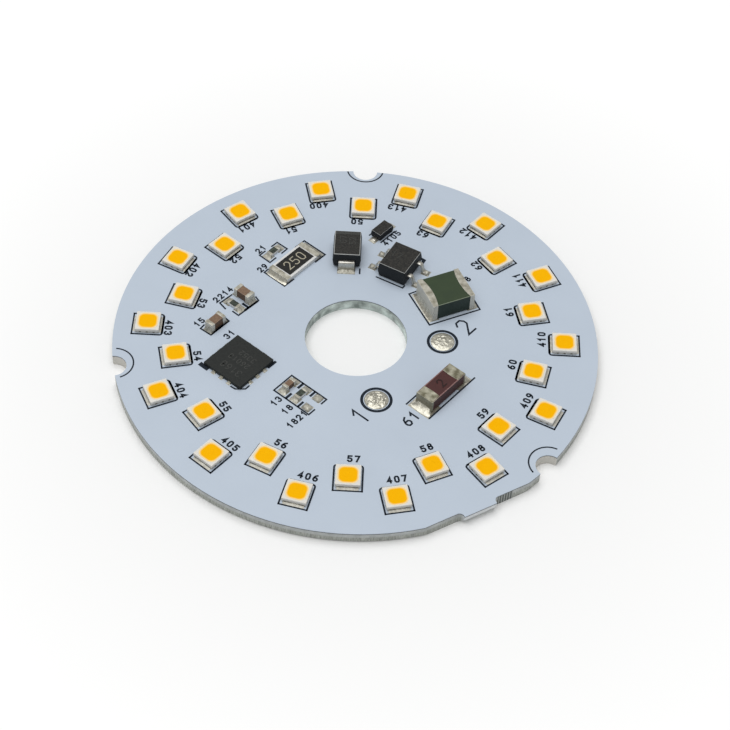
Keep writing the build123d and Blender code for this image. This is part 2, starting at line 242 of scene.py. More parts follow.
def noise_node(tree, place, size, detail, roughness=0.5):
    """Noise whose features have about a size in millimetres."""
    inputs = {"Vector": place, "Scale": math_node(tree, "DIVIDE", 1.0 / MM, size), "Detail": detail,
              "Roughness": roughness}
    return add_node(tree, "TexNoise", inputs).outputs["Fac"]


def mix_node(tree, share, first, second):
    """Colour that blends from the first to the second by a share."""
    inputs = {"Factor": share, "A": first, "B": second}
    return add_node(tree, "Mix", inputs, data_type="RGBA").outputs["Result"]


def patches_group():
    """Soft patches between two colours, by noise in object space."""
    inputs = [("Colour", "colour", PLAIN_GREY), ("Second colour", "colour", SECOND_GREY),
              ("Patch size mm", "value", 1.0), ("Contrast", "value", 1.0)]
    group, start, end = new_group("Colour patches", inputs, [("Colour", "colour"), ("Mask", "value")])
    cloud = noise_node(group, object_place(group), start["Patch size mm"], detail=4.0)
    spread = math_node(group, "MULTIPLY", math_node(group, "SUBTRACT", cloud, 0.5), start["Contrast"])
    mask = math_node(group, "ADD", spread, 0.5, clamp=True)
    group.links.new(mix_node(group, mask, start["Colour"], start["Second colour"]), end["Colour"])
    group.links.new(mask, end["Mask"])
    return group


def grain_group():
    """Fine grain as a height, and the same grain as a roughness."""
    inputs = [("Grain size mm", "value", 0.1), ("Smooth", "value", 0.4), ("Rough", "value", 0.6)]
    group, start, end = new_group("Fine grain", inputs, [("Height", "value"), ("Roughness", "value")])
    grit = noise_node(group, object_place(group), start["Grain size mm"], detail=3.0, roughness=0.6)
    group.links.new(grit, end["Height"])
    group.links.new(span_node(group, grit, *GRAIN_SPAN, start["Smooth"], start["Rough"]), end["Roughness"])
    return group


PATCHES = patches_group()
GRAIN = grain_group()
print("groups", PATCHES.name, "and", GRAIN.name)

# %% [markdown]
# Two more effects follow the shape. A punched or sawn edge has streaks that run down it, which is noise
# drawn out along the board's thickness. A moulded or dipped block gets a painted highlight on its rounded
# edge and painted shading on its walls, and the height of the surface's normal tells those two zones from
# the top.

# %% Streaks, and painted light on edges and walls
STREAK_SPAN = (0.35, 0.65)
OFF_TOP = (0.99, 0.9)
OFF_WALL = (0.3, 0.55)
ON_WALL = (0.6, 0.3)


def streaks_group():
    """Fine streaks that run down an edge."""
    inputs = [("Streak width mm", "value", 0.15), ("Length ratio", "value", 8.0)]
    group, start, end = new_group("Edge streaks", inputs, [("Height", "value"), ("Mask", "value")])
    squeeze = math_node(group, "DIVIDE", 1.0, start["Length ratio"])
    shape = add_node(group, "CombineXYZ", {"X": 1.0, "Y": 1.0, "Z": squeeze}).outputs[0]
    drawn = vector_node(group, "MULTIPLY", "Vector", object_place(group), shape)
    cloud = noise_node(group, drawn, start["Streak width mm"], detail=5.0, roughness=0.65)
    group.links.new(cloud, end["Height"])
    group.links.new(span_node(group, cloud, *STREAK_SPAN), end["Mask"])
    return group


def turn_group():
    """Masks for a painted highlight on the rounded edge between a top face and a wall, and for painted
    shading on the walls.
    """
    inputs = [("Edge strength", "value", 1.0), ("Wall strength", "value", 1.0)]
    group, start, end = new_group("Painted edge highlight and wall shading", inputs, [("Edge", "value"), ("Wall", "value")])
    normal = add_node(group, "TexCoord").outputs["Normal"]
    upward = add_node(group, "SeparateXYZ", {0: normal}).outputs["Z"]
    off_top, off_wall, wall = (span_node(group, upward, *span) for span in (OFF_TOP, OFF_WALL, ON_WALL))
    edge = math_node(group, "MULTIPLY", off_top, off_wall)
    group.links.new(math_node(group, "MULTIPLY", edge, start["Edge strength"]), end["Edge"])
    group.links.new(math_node(group, "MULTIPLY", wall, start["Wall strength"]), end["Wall"])
    return group


STREAKS = streaks_group()
TURN = turn_group()
print("groups", STREAKS.name, "and", TURN.name)

# %% [markdown]
# Most finishes on the board differ only in their two colours, their grain and their gloss. One helper
# wires the patches and the grain to a Principled shader, and leaves the constants on the shader itself.
# Colours are written as they look on a screen, from 0 to 255, and turned into linear light.

# %% A finish from patches and grain
TURN_STRENGTH = 0.8


def rgb(red, green, blue):
    """Linear colour from a screen colour of 0 to 255."""
    def linear(value):
        value /= 255.0
        return value / 12.92 if value <= 0.04045 else ((value + 0.055) / 1.055) ** 2.4
    return (linear(red), linear(green), linear(blue), 1.0)


def use_group(finish, group, **values):
    """Outputs of a node group in a material; its sockets are set by name, with underscores for spaces."""
    node = finish.node_tree.nodes.new("ShaderNodeGroup")
    node.node_tree = group
    for label, value in values.items():
        node.inputs[label.replace("_", " ")].default_value = value
    return node.outputs


def set_input(finish, name, value):
    """Set or link one input of a material's shader."""
    socket = finish.node_tree.nodes["Principled BSDF"].inputs[name]
    if isinstance(value, bpy.types.NodeSocket):
        finish.node_tree.links.new(value, socket)
    else:
        socket.default_value = value


def set_relief(finish, height, strength, depth):
    """Bump from a height socket; the depth is in millimetres."""
    inputs = {"Height": height, "Strength": strength, "Distance": depth * MM}
    set_input(finish, "Normal", add_node(finish.node_tree, "Bump", inputs).outputs["Normal"])


def tint(finish, share, colour):
    """Blend a finish's colour towards another one by a share."""
    now = finish.node_tree.nodes["Principled BSDF"].inputs["Base Color"].links[0].from_socket
    set_input(finish, "Base Color", mix_node(finish.node_tree, share, now, colour))


def grained(name, colour, second, patch=1.0, contrast=1.5, grain=0.08, rough=(0.4, 0.6), bump=0.1,
            depth=0.02, metallic=0.0, specular=0.5, edge=None, wall=None):
    """Material with colour patches, grainy roughness and a fine bump, and a painted highlight on edges and
    painted shading on walls.
    """
    finish = bpy.data.materials.new(name)
    finish.use_nodes = True
    patches = use_group(finish, PATCHES, Colour=colour, Second_colour=second, Patch_size_mm=patch,
                        Contrast=contrast)
    texture = use_group(finish, GRAIN, Grain_size_mm=grain, Smooth=rough[0], Rough=rough[1])
    set_input(finish, "Metallic", metallic)
    set_input(finish, "Specular IOR Level", specular)
    set_input(finish, "Base Color", patches["Colour"])
    set_input(finish, "Roughness", texture["Roughness"])
    set_relief(finish, texture["Height"], bump, depth)
    if edge:
        turn = use_group(finish, TURN, Edge_strength=TURN_STRENGTH, Wall_strength=TURN_STRENGTH)
        # Painted shading: the wall tint darkens the walls of most finishes and lightens those of the metal
        # caps.
        if wall:
            tint(finish, turn["Wall"], wall)
        # Painted highlight: the edge tint lightens the rounded edges.
        tint(finish, turn["Edge"], edge)
    return finish


print("middle grey as light", [round(value, 3) for value in rgb(128, 128, 128)])

# %% [markdown]
# The colours were set by comparing small areas of a test render with the photograph, one by one, so each
# finish carries its own pair. The metals are only partly metallic: solder and tin plate that have been
# through an oven are dull, and scatter most of the light.

# %% Finishes
mask_paint = grained("mask_paint", rgb(192, 204, 218), rgb(187, 199, 213), patch=6.0, contrast=1.6,
                     grain=0.25, rough=(0.36, 0.5), bump=0.06, depth=0.01)
# The legend colour is ink, and also painted shade where bars and lines are widened beside parts.
legend_ink_and_shade = grained("legend_ink_and_shade", rgb(24, 32, 42), rgb(36, 44, 54), patch=0.5, grain=0.06,
                     rough=(0.5, 0.7), specular=0.12)
pad_tin = grained("pad_tin", rgb(196, 194, 184), rgb(168, 164, 150), patch=0.6, contrast=2.0, grain=0.12,
                  rough=(0.28, 0.45), bump=0.15, metallic=0.8)
dielectric_resin = grained("dielectric_resin", rgb(42, 46, 48), rgb(58, 62, 64), patch=0.4, grain=0.05)
led_moulding = grained("led_moulding", rgb(234, 231, 224), rgb(224, 220, 211), patch=0.9, contrast=1.4,
                       grain=0.06, rough=(0.4, 0.55), bump=0.08, specular=0.35)
lead_tin = grained("lead_tin", rgb(214, 212, 204), rgb(178, 174, 162), patch=0.35, contrast=2.0, grain=0.1,
                   rough=(0.22, 0.4), bump=0.15, metallic=0.9)
# The next colour is the colour of the cut lead stubs, and in the slots at the LEDs' ends it is painted
# shade.
cut_lead_and_slot_shade = grained("cut_lead_and_slot_shade", rgb(136, 131, 118), rgb(92, 88, 78), patch=0.12, contrast=2.2, grain=0.05,
                   rough=(0.45, 0.65), bump=0.3, specular=0.3)
# The edge colours below are painted highlights, and the wall colours are painted shading.
black_mould = grained("black_mould", rgb(26, 28, 28), rgb(60, 58, 54), patch=0.2, contrast=2.6, grain=0.05,
                      rough=(0.45, 0.65), bump=0.6, depth=0.03, specular=0.2, edge=rgb(204, 206, 204),
                      wall=rgb(24, 29, 34))
chip_mould = grained("chip_mould", rgb(36, 39, 38), rgb(46, 48, 46), patch=0.3, contrast=2.0, grain=0.04,
                     rough=(0.5, 0.7), bump=0.3, specular=0.2, edge=rgb(58, 61, 60))
olive_ceramic = grained("olive_ceramic", rgb(56, 71, 46), rgb(49, 63, 44), patch=1.2, grain=0.06,
                        rough=(0.35, 0.5), bump=0.12, specular=0.25, edge=rgb(150, 160, 140),
                        wall=rgb(32, 46, 44))
maroon_ceramic = grained("maroon_ceramic", rgb(80, 42, 40), rgb(68, 37, 36), patch=0.7, grain=0.06,
                         rough=(0.4, 0.55), bump=0.15, specular=0.25, edge=rgb(190, 150, 146),
                         wall=rgb(68, 38, 34))
brown_ceramic = grained("brown_ceramic", rgb(136, 112, 90), rgb(112, 88, 72), patch=0.35, contrast=2.2,
                        grain=0.05, rough=(0.4, 0.55), bump=0.12, specular=0.25,
                        edge=rgb(160, 138, 120), wall=rgb(86, 64, 46))
white_alumina = grained("white_alumina", rgb(226, 226, 224), rgb(212, 212, 210), patch=0.6, grain=0.04,
                        rough=(0.5, 0.7), bump=0.15)
black_overcoat = grained("black_overcoat", rgb(30, 30, 30), rgb(40, 40, 38), patch=0.6, grain=0.05,
                         rough=(0.3, 0.45), bump=0.12, specular=0.2)
green_overcoat = grained("green_overcoat", rgb(34, 38, 34), rgb(78, 86, 76), patch=0.35, contrast=2.6,
                         grain=0.05, rough=(0.35, 0.5), bump=0.12, specular=0.2)
# Painted light: the caps' walls are tinted lighter than their own colour.
end_metal = grained("end_metal", rgb(200, 197, 184), rgb(140, 136, 120), patch=0.7, contrast=2.6,
                    rough=(0.4, 0.6), bump=0.3, metallic=0.4, edge=rgb(240, 238, 230),
                    wall=rgb(210, 208, 198))
fluxed_metal = grained("fluxed_metal", rgb(182, 179, 160), rgb(104, 100, 78), patch=0.8, contrast=3.2,
                       rough=(0.35, 0.6), bump=0.3, metallic=0.4, edge=rgb(206, 204, 190),
                       wall=rgb(140, 136, 118))
solder_metal = grained("solder_metal", rgb(204, 202, 190), rgb(146, 143, 130), patch=0.3, contrast=2.4,
                       grain=0.15, rough=(0.42, 0.62), bump=0.12, depth=0.03, metallic=0.5)
bright_solder = grained("bright_solder", rgb(214, 211, 198), rgb(166, 163, 148), patch=0.35, contrast=2.4,
                        grain=0.1, rough=(0.2, 0.36), bump=0.12, depth=0.03, metallic=0.7)
dull_solder = grained("dull_solder", rgb(214, 211, 200), rgb(178, 175, 164), patch=0.35, contrast=2.4,
                      grain=0.1, rough=(0.35, 0.55), bump=0.3, depth=0.03, metallic=0.3)
mark_ink = grained("mark_ink", rgb(188, 182, 160), rgb(160, 154, 134), patch=0.2, contrast=2.0, grain=0.05)
etched_grey = grained("etched_grey", rgb(74, 75, 73), rgb(56, 57, 55), patch=0.15, contrast=2.4, grain=0.05,
                      rough=(0.6, 0.8), specular=0.2)
fuse_ink = grained("fuse_ink", rgb(38, 26, 26), rgb(50, 32, 30), patch=0.2, grain=0.05, specular=0.2)
print("finishes", len(bpy.data.materials))

# %% [markdown]
# The phosphor in an LED's cup is deep amber over the middle and thins out to pale yellow at the rounded
# rim. Each cup gets a small UV map, from 0 to 1 across its mouth, and the material measures the distance
# from the cup's middle in it, so that all LEDs share one material whichever way they are turned. The white
# moulding gets painted shade at its foot in a like way: it turns greyer towards the board, by the height
# above it.

# %% Phosphor
PALE_RIM = (0.8, 0.97)
MOULDING_SHADE_SPAN = (0.4, 0.05)


def phosphor():
    """Amber filling with a pale rim, from the cup's UV map."""
    finish = grained("phosphor", rgb(255, 189, 4), rgb(255, 183, 0), patch=0.4, grain=0.04,
                     rough=(0.45, 0.6), bump=0.05, specular=0.03)
    tree = finish.node_tree
    cup = add_node(tree, "UVMap", uv_map="cup").outputs["UV"]
    share = add_node(tree, "SeparateXYZ", {0: cup}).outputs["X"]
    tint(finish, span_node(tree, share, *PALE_RIM), rgb(252, 232, 182))
    return finish


def shade_foot(finish, ends, colour):
    """Paint shade on a finish: blend it towards a colour from one height above the board down to another."""
    tree = finish.node_tree
    height = add_node(tree, "SeparateXYZ", {0: object_place(tree)}).outputs["Z"]
    tint(finish, span_node(tree, height, *((BOARD_TOP + end) * MM for end in ends)), colour)


phosphor_filling = phosphor()
# Painted shade: the moulding's walls turn greyer towards the board.
shade_foot(led_moulding, MOULDING_SHADE_SPAN, rgb(206, 206, 202))
print("rim from", PALE_RIM, "foot from", MOULDING_SHADE_SPAN)

# %% [markdown]
# The rim of the board is punched aluminium: smooth and light just under the top face, then rougher and
# darker where the metal tore, with fine streaks down the edge. The height on the edge picks the zone. The
# hole and the notches were punched with a sharper tool, so their walls are paler: distances from their
# axes pick those. Beside the broken tab the metal tore into upright ribs, and their lit crests and shaded
# grooves are painted as light and dark stripes.

# %% Board metal
FLAT_DISTANCE = 29.17
FLAT_DIRECTION = 301.1
FLAT_ZONE = 0.3
TAB_PALE = (FLAT_DISTANCE + 0.25, FLAT_DISTANCE + 0.5)
TORN_LEVELS = (0.95, 0.8)
HOLE_REACH = (9.0, 7.5)
NOTCH_REACH = (1.75, 1.6)
RIB_MIDDLE = 3.8
RIB_HALF = 1.05
RIB_PITCH = 0.36
RIB_LIT_CREST = (0.1, 1.4)
LEDS_IN_RING = 14
FIRST_DIRECTION = 90.0
LED_STEP = 360.0 / LEDS_IN_RING
NOTCH_PLACES = (0, 4, 9)


def polar(radius, direction):
    """Point on a ring round the hole."""
    return radius * math.cos(math.radians(direction)), radius * math.sin(math.radians(direction))


def millimetre_span(tree, value, ends):
    """Mask that grows from 0 to 1 while a length in metres runs between two ends in millimetres."""
    return span_node(tree, value, *(end * MM for end in ends))


def distance_along(tree, place, direction):
    """Distance from the axis, measured along a direction."""
    return vector_node(tree, "DOT_PRODUCT", "Value", place, (*polar(1.0, direction), 0.0))


def torn_ribs(finish, place, out):
    """Ribs beside the tab, where the metal tore as the board was broken out of its panel, with painted light
    on their crests and painted shade in their grooves.
    """
    tree = finish.node_tree
    across = distance_along(tree, place, FLAT_DIRECTION + 90.0)
    beside_tab = math_node(tree, "COMPARE", across, RIB_MIDDLE * MM, RIB_HALF * MM)
    on_flat = math_node(tree, "COMPARE", out, FLAT_DISTANCE * MM, FLAT_ZONE * MM)
    phase = math_node(tree, "MULTIPLY", across, 2 * math.pi / (RIB_PITCH * MM))
    crest = span_node(tree, math_node(tree, "SINE", phase), *RIB_LIT_CREST)
    # Painted light and shade: pale stripes for the lit crests, dark ones for the grooves.
    ribs = mix_node(tree, crest, rgb(92, 98, 96), rgb(204, 208, 204))
    tint(finish, math_node(tree, "MULTIPLY", beside_tab, on_flat), ribs)


def board_metal():
    """Rolled aluminium with a streaked, two-zone sheared edge."""
    finish = grained("board_metal", rgb(190, 194, 193), rgb(162, 166, 166), patch=0.8, contrast=2.2,
                     grain=0.1, rough=(0.45, 0.65), bump=0.2, metallic=0.35)
    tree = finish.node_tree
    place = object_place(tree)
    height = add_node(tree, "SeparateXYZ", {0: place}).outputs["Z"]
    streaks = use_group(finish, STREAKS, Streak_width_mm=0.12, Length_ratio=9.0)
    torn = mix_node(tree, streaks["Mask"], rgb(130, 134, 128), rgb(188, 191, 185))
    tint(finish, millimetre_span(tree, height, TORN_LEVELS), torn)
    bruised = use_group(finish, PATCHES, Colour=rgb(216, 228, 224), Second_colour=rgb(126, 136, 132),
                        Patch_size_mm=1.3, Contrast=3.0)
    level = vector_node(tree, "MULTIPLY", "Vector", place, (1.0, 1.0, 0.0))
    reach = vector_node(tree, "LENGTH", "Value", level)
    tint(finish, millimetre_span(tree, reach, HOLE_REACH), bruised["Colour"])
    out = distance_along(tree, place, FLAT_DIRECTION)
    tint(finish, millimetre_span(tree, out, TAB_PALE), rgb(214, 218, 220))
    for number in NOTCH_PLACES:
        centre = (*polar(BOARD_RADIUS * MM, FIRST_DIRECTION + number * LED_STEP), 0.0)
        away = vector_node(tree, "DISTANCE", "Value", level, centre)
        tint(finish, millimetre_span(tree, away, NOTCH_REACH), rgb(206, 204, 198))
    torn_ribs(finish, place, out)
    set_relief(finish, streaks["Height"], 0.5, 0.05)
    return finish


sheared_metal = board_metal()
print("nodes in the board metal", len(sheared_metal.node_tree.nodes))

# %% [markdown]
# A CAD solid that already has the right form only needs a finish. Its edges are perfectly sharp, though,
# and real mouldings and ceramics are not. A softened copy is made of such a solid: its mesh is welded,
# its flat faces are joined, and a bevel of a few hundredths of a millimetre catches the light.

# %% Pieces from CAD solids
WELD_DISTANCE = 0.0005
FLAT_ANGLE = 0.5
BEVEL_ANGLE = 25.0


def finish_node(name, finish):
    """Put a finish on a CAD node that stays."""
    mesh = nodes[name].data
    mesh.materials.clear()
    mesh.materials.append(finish)


def welded(name):
    """Closed mesh of a CAD node with its flat faces joined, as an editable bmesh in metres."""
    shape = bmesh.new()
    shape.from_mesh(nodes[name].data)
    bmesh.ops.remove_doubles(shape, verts=shape.verts, dist=WELD_DISTANCE * MM)
    flat = math.radians(FLAT_ANGLE)
    bmesh.ops.dissolve_limit(shape, angle_limit=flat, verts=shape.verts, edges=shape.edges)
    return shape


def new_piece(name, shape, finish, slot, *replaced):
    """Object from a bmesh in metres, on the board's body, with its finish; the slot is not used."""
    mesh = bpy.data.meshes.new(name)
    shape.to_mesh(mesh)
    shape.free()
    mesh.materials.append(finish)
    piece = bpy.data.objects.new(name, mesh)
    scene.collection.objects.link(piece)
    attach(piece, "root")
    if replaced:
        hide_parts(*replaced)
    return piece


def soften(piece, width, segments=2):
    """Bevel the sharp edges of a piece, and shade it as flat faces with round edges."""
    bevel = piece.modifiers.new("edge_round", "BEVEL")
    bevel.width = width * MM
    bevel.segments = segments
    bevel.limit_method = "ANGLE"
    bevel.angle_limit = math.radians(BEVEL_ANGLE)
    bevel.harden_normals = False
    piece.data.shade_smooth()
    weight = piece.modifiers.new("flat_face_shading", "WEIGHTED_NORMAL")
    weight.keep_sharp = True


kept_nodes = {
    "aluminium_base": sheared_metal, "dielectric_layer": dielectric_resin, "solder_mask": mask_paint,
    "copper_pads": pad_tin, "small_resistor_overcoats": green_overcoat,
    "large_resistor_overcoat": black_overcoat,
}
for name, finish in kept_nodes.items():
    finish_node(name, finish)

dressed_nodes = (
    ("bridge_rectifier_body", black_mould, "black_mould", 0.16, 3),
    ("power_diode_body", black_mould, "black_mould", 0.18, 3),
    ("small_diode_body", black_mould, "black_mould", 0.12, 3),
    ("driver_chip_body", chip_mould, "black_mould", 0.04, 2),
    ("surge_absorber_body", olive_ceramic, "olive_ceramic", 0.1, 3),
    ("fuse_body", maroon_ceramic, "maroon_ceramic", 0.08, 3),
    ("lone_capacitor_body", brown_ceramic, "brown_ceramic", 0.08, 3),
    ("pair_capacitor_body", brown_ceramic, "brown_ceramic", 0.08, 3),
    ("small_capacitor_body", brown_ceramic, "brown_ceramic", 0.04, 2),
    ("large_resistor_substrate", white_alumina, "white_ceramic", 0.03, 2),
    ("small_resistor_substrates", white_alumina, "white_ceramic", 0.02, 2),
    ("large_resistor_terminals", end_metal, "end_metal", 0.02, 2),
    ("small_resistor_terminals", end_metal, "end_metal", 0.015, 2),
    ("surge_absorber_end_caps", end_metal, "end_metal", 0.08, 3),
    ("fuse_end_caps", fluxed_metal, "end_metal", 0.06, 3),
    ("lone_capacitor_end_caps", end_metal, "end_metal", 0.03, 2),
    ("pair_capacitor_end_caps", end_metal, "end_metal", 0.03, 2),
    ("small_capacitor_end_caps", end_metal, "end_metal", 0.02, 2),
    ("power_diode_leads", lead_tin, "tinned_metal", 0.03, 2),
    ("small_diode_leads", lead_tin, "tinned_metal", 0.02, 2),
    ("driver_chip_leads", fluxed_metal, "tinned_metal", 0.02, 2),
)
for name, finish, slot, width, segments in dressed_nodes:
    soften(new_piece(name + "_dressed", welded(name), finish, slot, name), width, segments)
print("kept", len(kept_nodes), "dressed", len(dressed_nodes))

# %% [markdown]
# Each LED is a white moulding, three millimetres square, round a cup with a rounded square mouth. The
# two plates of its lead frame come out at the ends, with small notches in their edges. A subdivided cube
# would turn soft all over, so the moulding is drawn as rings of points, from the outside wall over the
# rim and down into the cup, which keeps its walls flat and its mouth truly round.

# %% LED shapes
LED_SIDE = 3.0
LED_HEIGHT = 0.7
LED_RIM_ROUND = 0.08
LED_CORNER = 0.1
LED_FOOT_INSET = 0.06
LED_FOOT_STEP = (0.02, 0.09)
CUP_MOUTH = 2.55
CUP_CORNER = 0.8
CUP_SLOPE = 14.0
CUP_LIP = 0.02
FILLING_TOP = 0.67
FILLING_SAG = 0.035
FILLING_SHARES = (0.985, 0.96, 0.92, 0.86, 0.7, 0.45, 0.2)
PLATE_THICKNESS = 0.2
PLATE_WIDTH = 2.7
PLATE_NOTCH = (0.28, 0.12, 0.9)
SPLIT_PLACE = -0.55
SPLIT_GAP = 0.35
RING_STEPS = 8


def rounded_square(side, corner, height, steps=RING_STEPS):
    """Points of a rounded square, going round from the +X side, at a height."""
    points = []
    centre = side / 2 - corner
    for quarter in range(4):
        for step in range(steps + 1):
            turn = math.radians(90.0 * (quarter + step / steps))
            side_x = 1 if quarter in (0, 3) else -1
            side_y = 1 if quarter in (0, 1) else -1
            points.append((side_x * centre + corner * math.cos(turn),
                           side_y * centre + corner * math.sin(turn), height))
    return points


def ring_surface(rings):
    """Closed bmesh in millimetres through rings that all have as many points."""
    shape = bmesh.new()
    rows = [[shape.verts.new(point) for point in ring] for ring in rings]
    for row, above in zip(rows, rows[1:]):
        for index in range(len(row)):
            after = (index + 1) % len(row)
            shape.faces.new((row[index], row[after], above[after], above[index]))
    shape.faces.new(list(reversed(rows[0])))
    shape.faces.new(rows[-1])
    return shape


def cup_side(height):
    """Side and corner radius of the cup at a height."""
    lean = (LED_HEIGHT - height) * math.tan(math.radians(CUP_SLOPE))
    return CUP_MOUTH - 2 * lean, CUP_CORNER - lean


def led_moulding_rings():
    """Rings from the foot of the moulding over its rim to the floor of the cup."""
    soft = LED_RIM_ROUND
    foot = LED_SIDE - LED_FOOT_INSET
    step_start, step_end = (PLATE_THICKNESS + rise for rise in LED_FOOT_STEP)
    outside = ((foot, 0.0), (foot, step_start), (LED_SIDE, step_end), (LED_SIDE, LED_HEIGHT - soft),
               (LED_SIDE - 0.6 * soft, LED_HEIGHT - 0.3 * soft), (LED_SIDE - 2 * soft, LED_HEIGHT))
    rings = [rounded_square(side, LED_CORNER, height) for side, height in outside]
    rings.append(rounded_square(CUP_MOUTH + 2 * CUP_LIP, CUP_CORNER + CUP_LIP, LED_HEIGHT))
    for height in (LED_HEIGHT - CUP_LIP, PLATE_THICKNESS):
        rings.append(rounded_square(*cup_side(height), height))
    return rings


def led_filling_shape():
    """Filling with a slight sag, and the share of the way out to the rim in its UV map."""
    side, corner = cup_side(FILLING_TOP)
    top = FILLING_TOP + CUP_LIP
    rings = [rounded_square(*cup_side(PLATE_THICKNESS), PLATE_THICKNESS), rounded_square(side, corner, top)]
    for share in FILLING_SHARES:
        rings.append(rounded_square(side * share, corner * share, top - FILLING_SAG * (1 - share ** 6)))
    shape = ring_surface(rings)
    layer = shape.loops.layers.uv.new("cup")
    ring_shares = (1.0, 1.0) + FILLING_SHARES
    shape.verts.index_update()
    for face in shape.faces:
        for loop in face.loops:
            loop[layer].uv = (ring_shares[loop.vert.index // len(rings[0])], 0.0)
    return shape


def notched_plate(inner, outer):
    """Plate of the lead frame, from its inner end to the outer one, which has two small notches."""
    width, depth, place = PLATE_NOTCH
    half = PLATE_WIDTH / 2
    inward = outer - math.copysign(depth, outer)
    outline = [(inner, -half), (outer, -half)]
    for middle in (-place, place):
        outline += [(outer, middle - width / 2), (inward, middle - width / 2),
                    (inward, middle + width / 2), (outer, middle + width / 2)]
    outline += [(outer, half), (inner, half)]
    if outer < 0:
        outline.reverse()
    shape = bmesh.new()
    face = shape.faces.new([shape.verts.new((x, y, 0.0)) for x, y in outline])
    top = bmesh.ops.extrude_face_region(shape, geom=[face])
    lifted = [part for part in top["geom"] if isinstance(part, bmesh.types.BMVert)]
    bmesh.ops.translate(shape, verts=lifted, vec=(0, 0, PLATE_THICKNESS))
    bmesh.ops.recalc_face_normals(shape, faces=shape.faces)
    return shape


print("points in a moulding", len(led_moulding_rings()) * len(rounded_square(LED_SIDE, LED_CORNER, 0.0)))

# %% [markdown]
# A piece is drawn once, in millimetres, lying along +X. A seat is the matrix that brings it down to metres,
# turns it and puts it on the board, so one drawing serves all 28 LEDs and the driver's parts as well. The
# circuit was printed a little off the punched outline, and the LED places keep that.

# %% Copies on their seats
INNER_RING = 22.43
OUTER_RING = 25.82
CIRCUIT_OFFSET = 0.39
MOULDING_SHARP = 32
FILLING_SHARP = 40


def seat(place, direction, level=BOARD_TOP):
    """Matrix from a piece in millimetres to its seat on the board in metres, +X along the direction."""
    move = Matrix.Translation((place[0] * MM, place[1] * MM, level * MM))
    return move @ Matrix.Rotation(math.radians(direction), 4, "Z") @ Matrix.Scale(MM, 4)


def further(where, out, along=0.0):
    """A seat moved further along its own X and Y."""
    return where @ Matrix.Translation((out, along, 0.0))


def placed(shape, where):
    """The same shape, brought to its seat."""
    bmesh.ops.transform(shape, matrix=where, verts=shape.verts)
    return shape


def joined(shapes):
    """One bmesh from several; the others are used up."""
    together = bmesh.new()
    for shape in shapes:
        single = bpy.data.meshes.new("single")
        shape.to_mesh(single)
        shape.free()
        together.from_mesh(single)
        bpy.data.meshes.remove(single)
    return together


def copies(shape, seats):
    """One bmesh with a copy of a shape on every seat; the shape is used up."""
    together = joined(placed(shape.copy(), where) for where in seats)
    shape.free()
    return together


def smooth(piece, angle):
    """Shade a piece smooth, apart from edges that turn by more than an angle."""
    piece.data.shade_smooth()
    piece.data.set_sharp_from_angle(angle=math.radians(angle))


def on_circuit(radius, direction):
    """Point on a ring of the printed circuit, which sits a little off the punched outline."""
    x, y = polar(radius, direction)
    return x, y + CIRCUIT_OFFSET


led_directions = [FIRST_DIRECTION + number * LED_STEP for number in range(LEDS_IN_RING)]
led_places = [(INNER_RING, direction) for direction in led_directions]
led_places += [(OUTER_RING, direction + LED_STEP / 2) for direction in led_directions]
led_seats = [seat(on_circuit(radius, direction), direction) for radius, direction in led_places]

for number, where in enumerate(led_seats, start=1):
    moulding = placed(ring_surface(led_moulding_rings()), where)
    smooth(new_piece(f"led_moulding_{number:02d}", moulding, led_moulding, "led_housing",
                     f"led_housing_{number:02d}"), MOULDING_SHARP)
smooth(new_piece("led_fillings", copies(led_filling_shape(), led_seats), phosphor_filling, "phosphor",
                 "led_phosphor_fillings"), FILLING_SHARP)
half_led = LED_SIDE / 2
plates = [notched_plate(SPLIT_PLACE - SPLIT_GAP / 2, -half_led),
          notched_plate(SPLIT_PLACE + SPLIT_GAP / 2, half_led)]
new_piece("led_lead_plates", copies(joined(plates), led_seats), lead_tin, "tinned_metal", "led_lead_frames")
print("LEDs", len(led_seats))

# %% [markdown]
# Printed lines are thin layers of ink. They could be painted by a texture, but then their edges blur
# when seen close, so each line is a flat strip with mitred corners that stands a hundredth of a
# millimetre proud of the mask. Every LED has a frame of such lines, with a wider bar on its inner side
# that is ink and painted shade, for the dark gap between the LED and its frame.

# %% Legend strokes
INK_HEIGHT = 0.012
MITRE_LIMIT = 0.4
FRAME_LINE = 0.22
FRAME_INNER = -1.85
FRAME_OUTER = 1.9
FRAME_SIDE = 1.7
FRAME_ROUND = 0.36
SHUT_LINE = 0.9 * FRAME_LINE
# The bar is wider than the frame's lines to take in painted shade beside the LED.
INK_AND_SHADE_BAR_LINE = 1.3 * FRAME_LINE
BAR_HALF = 1.3


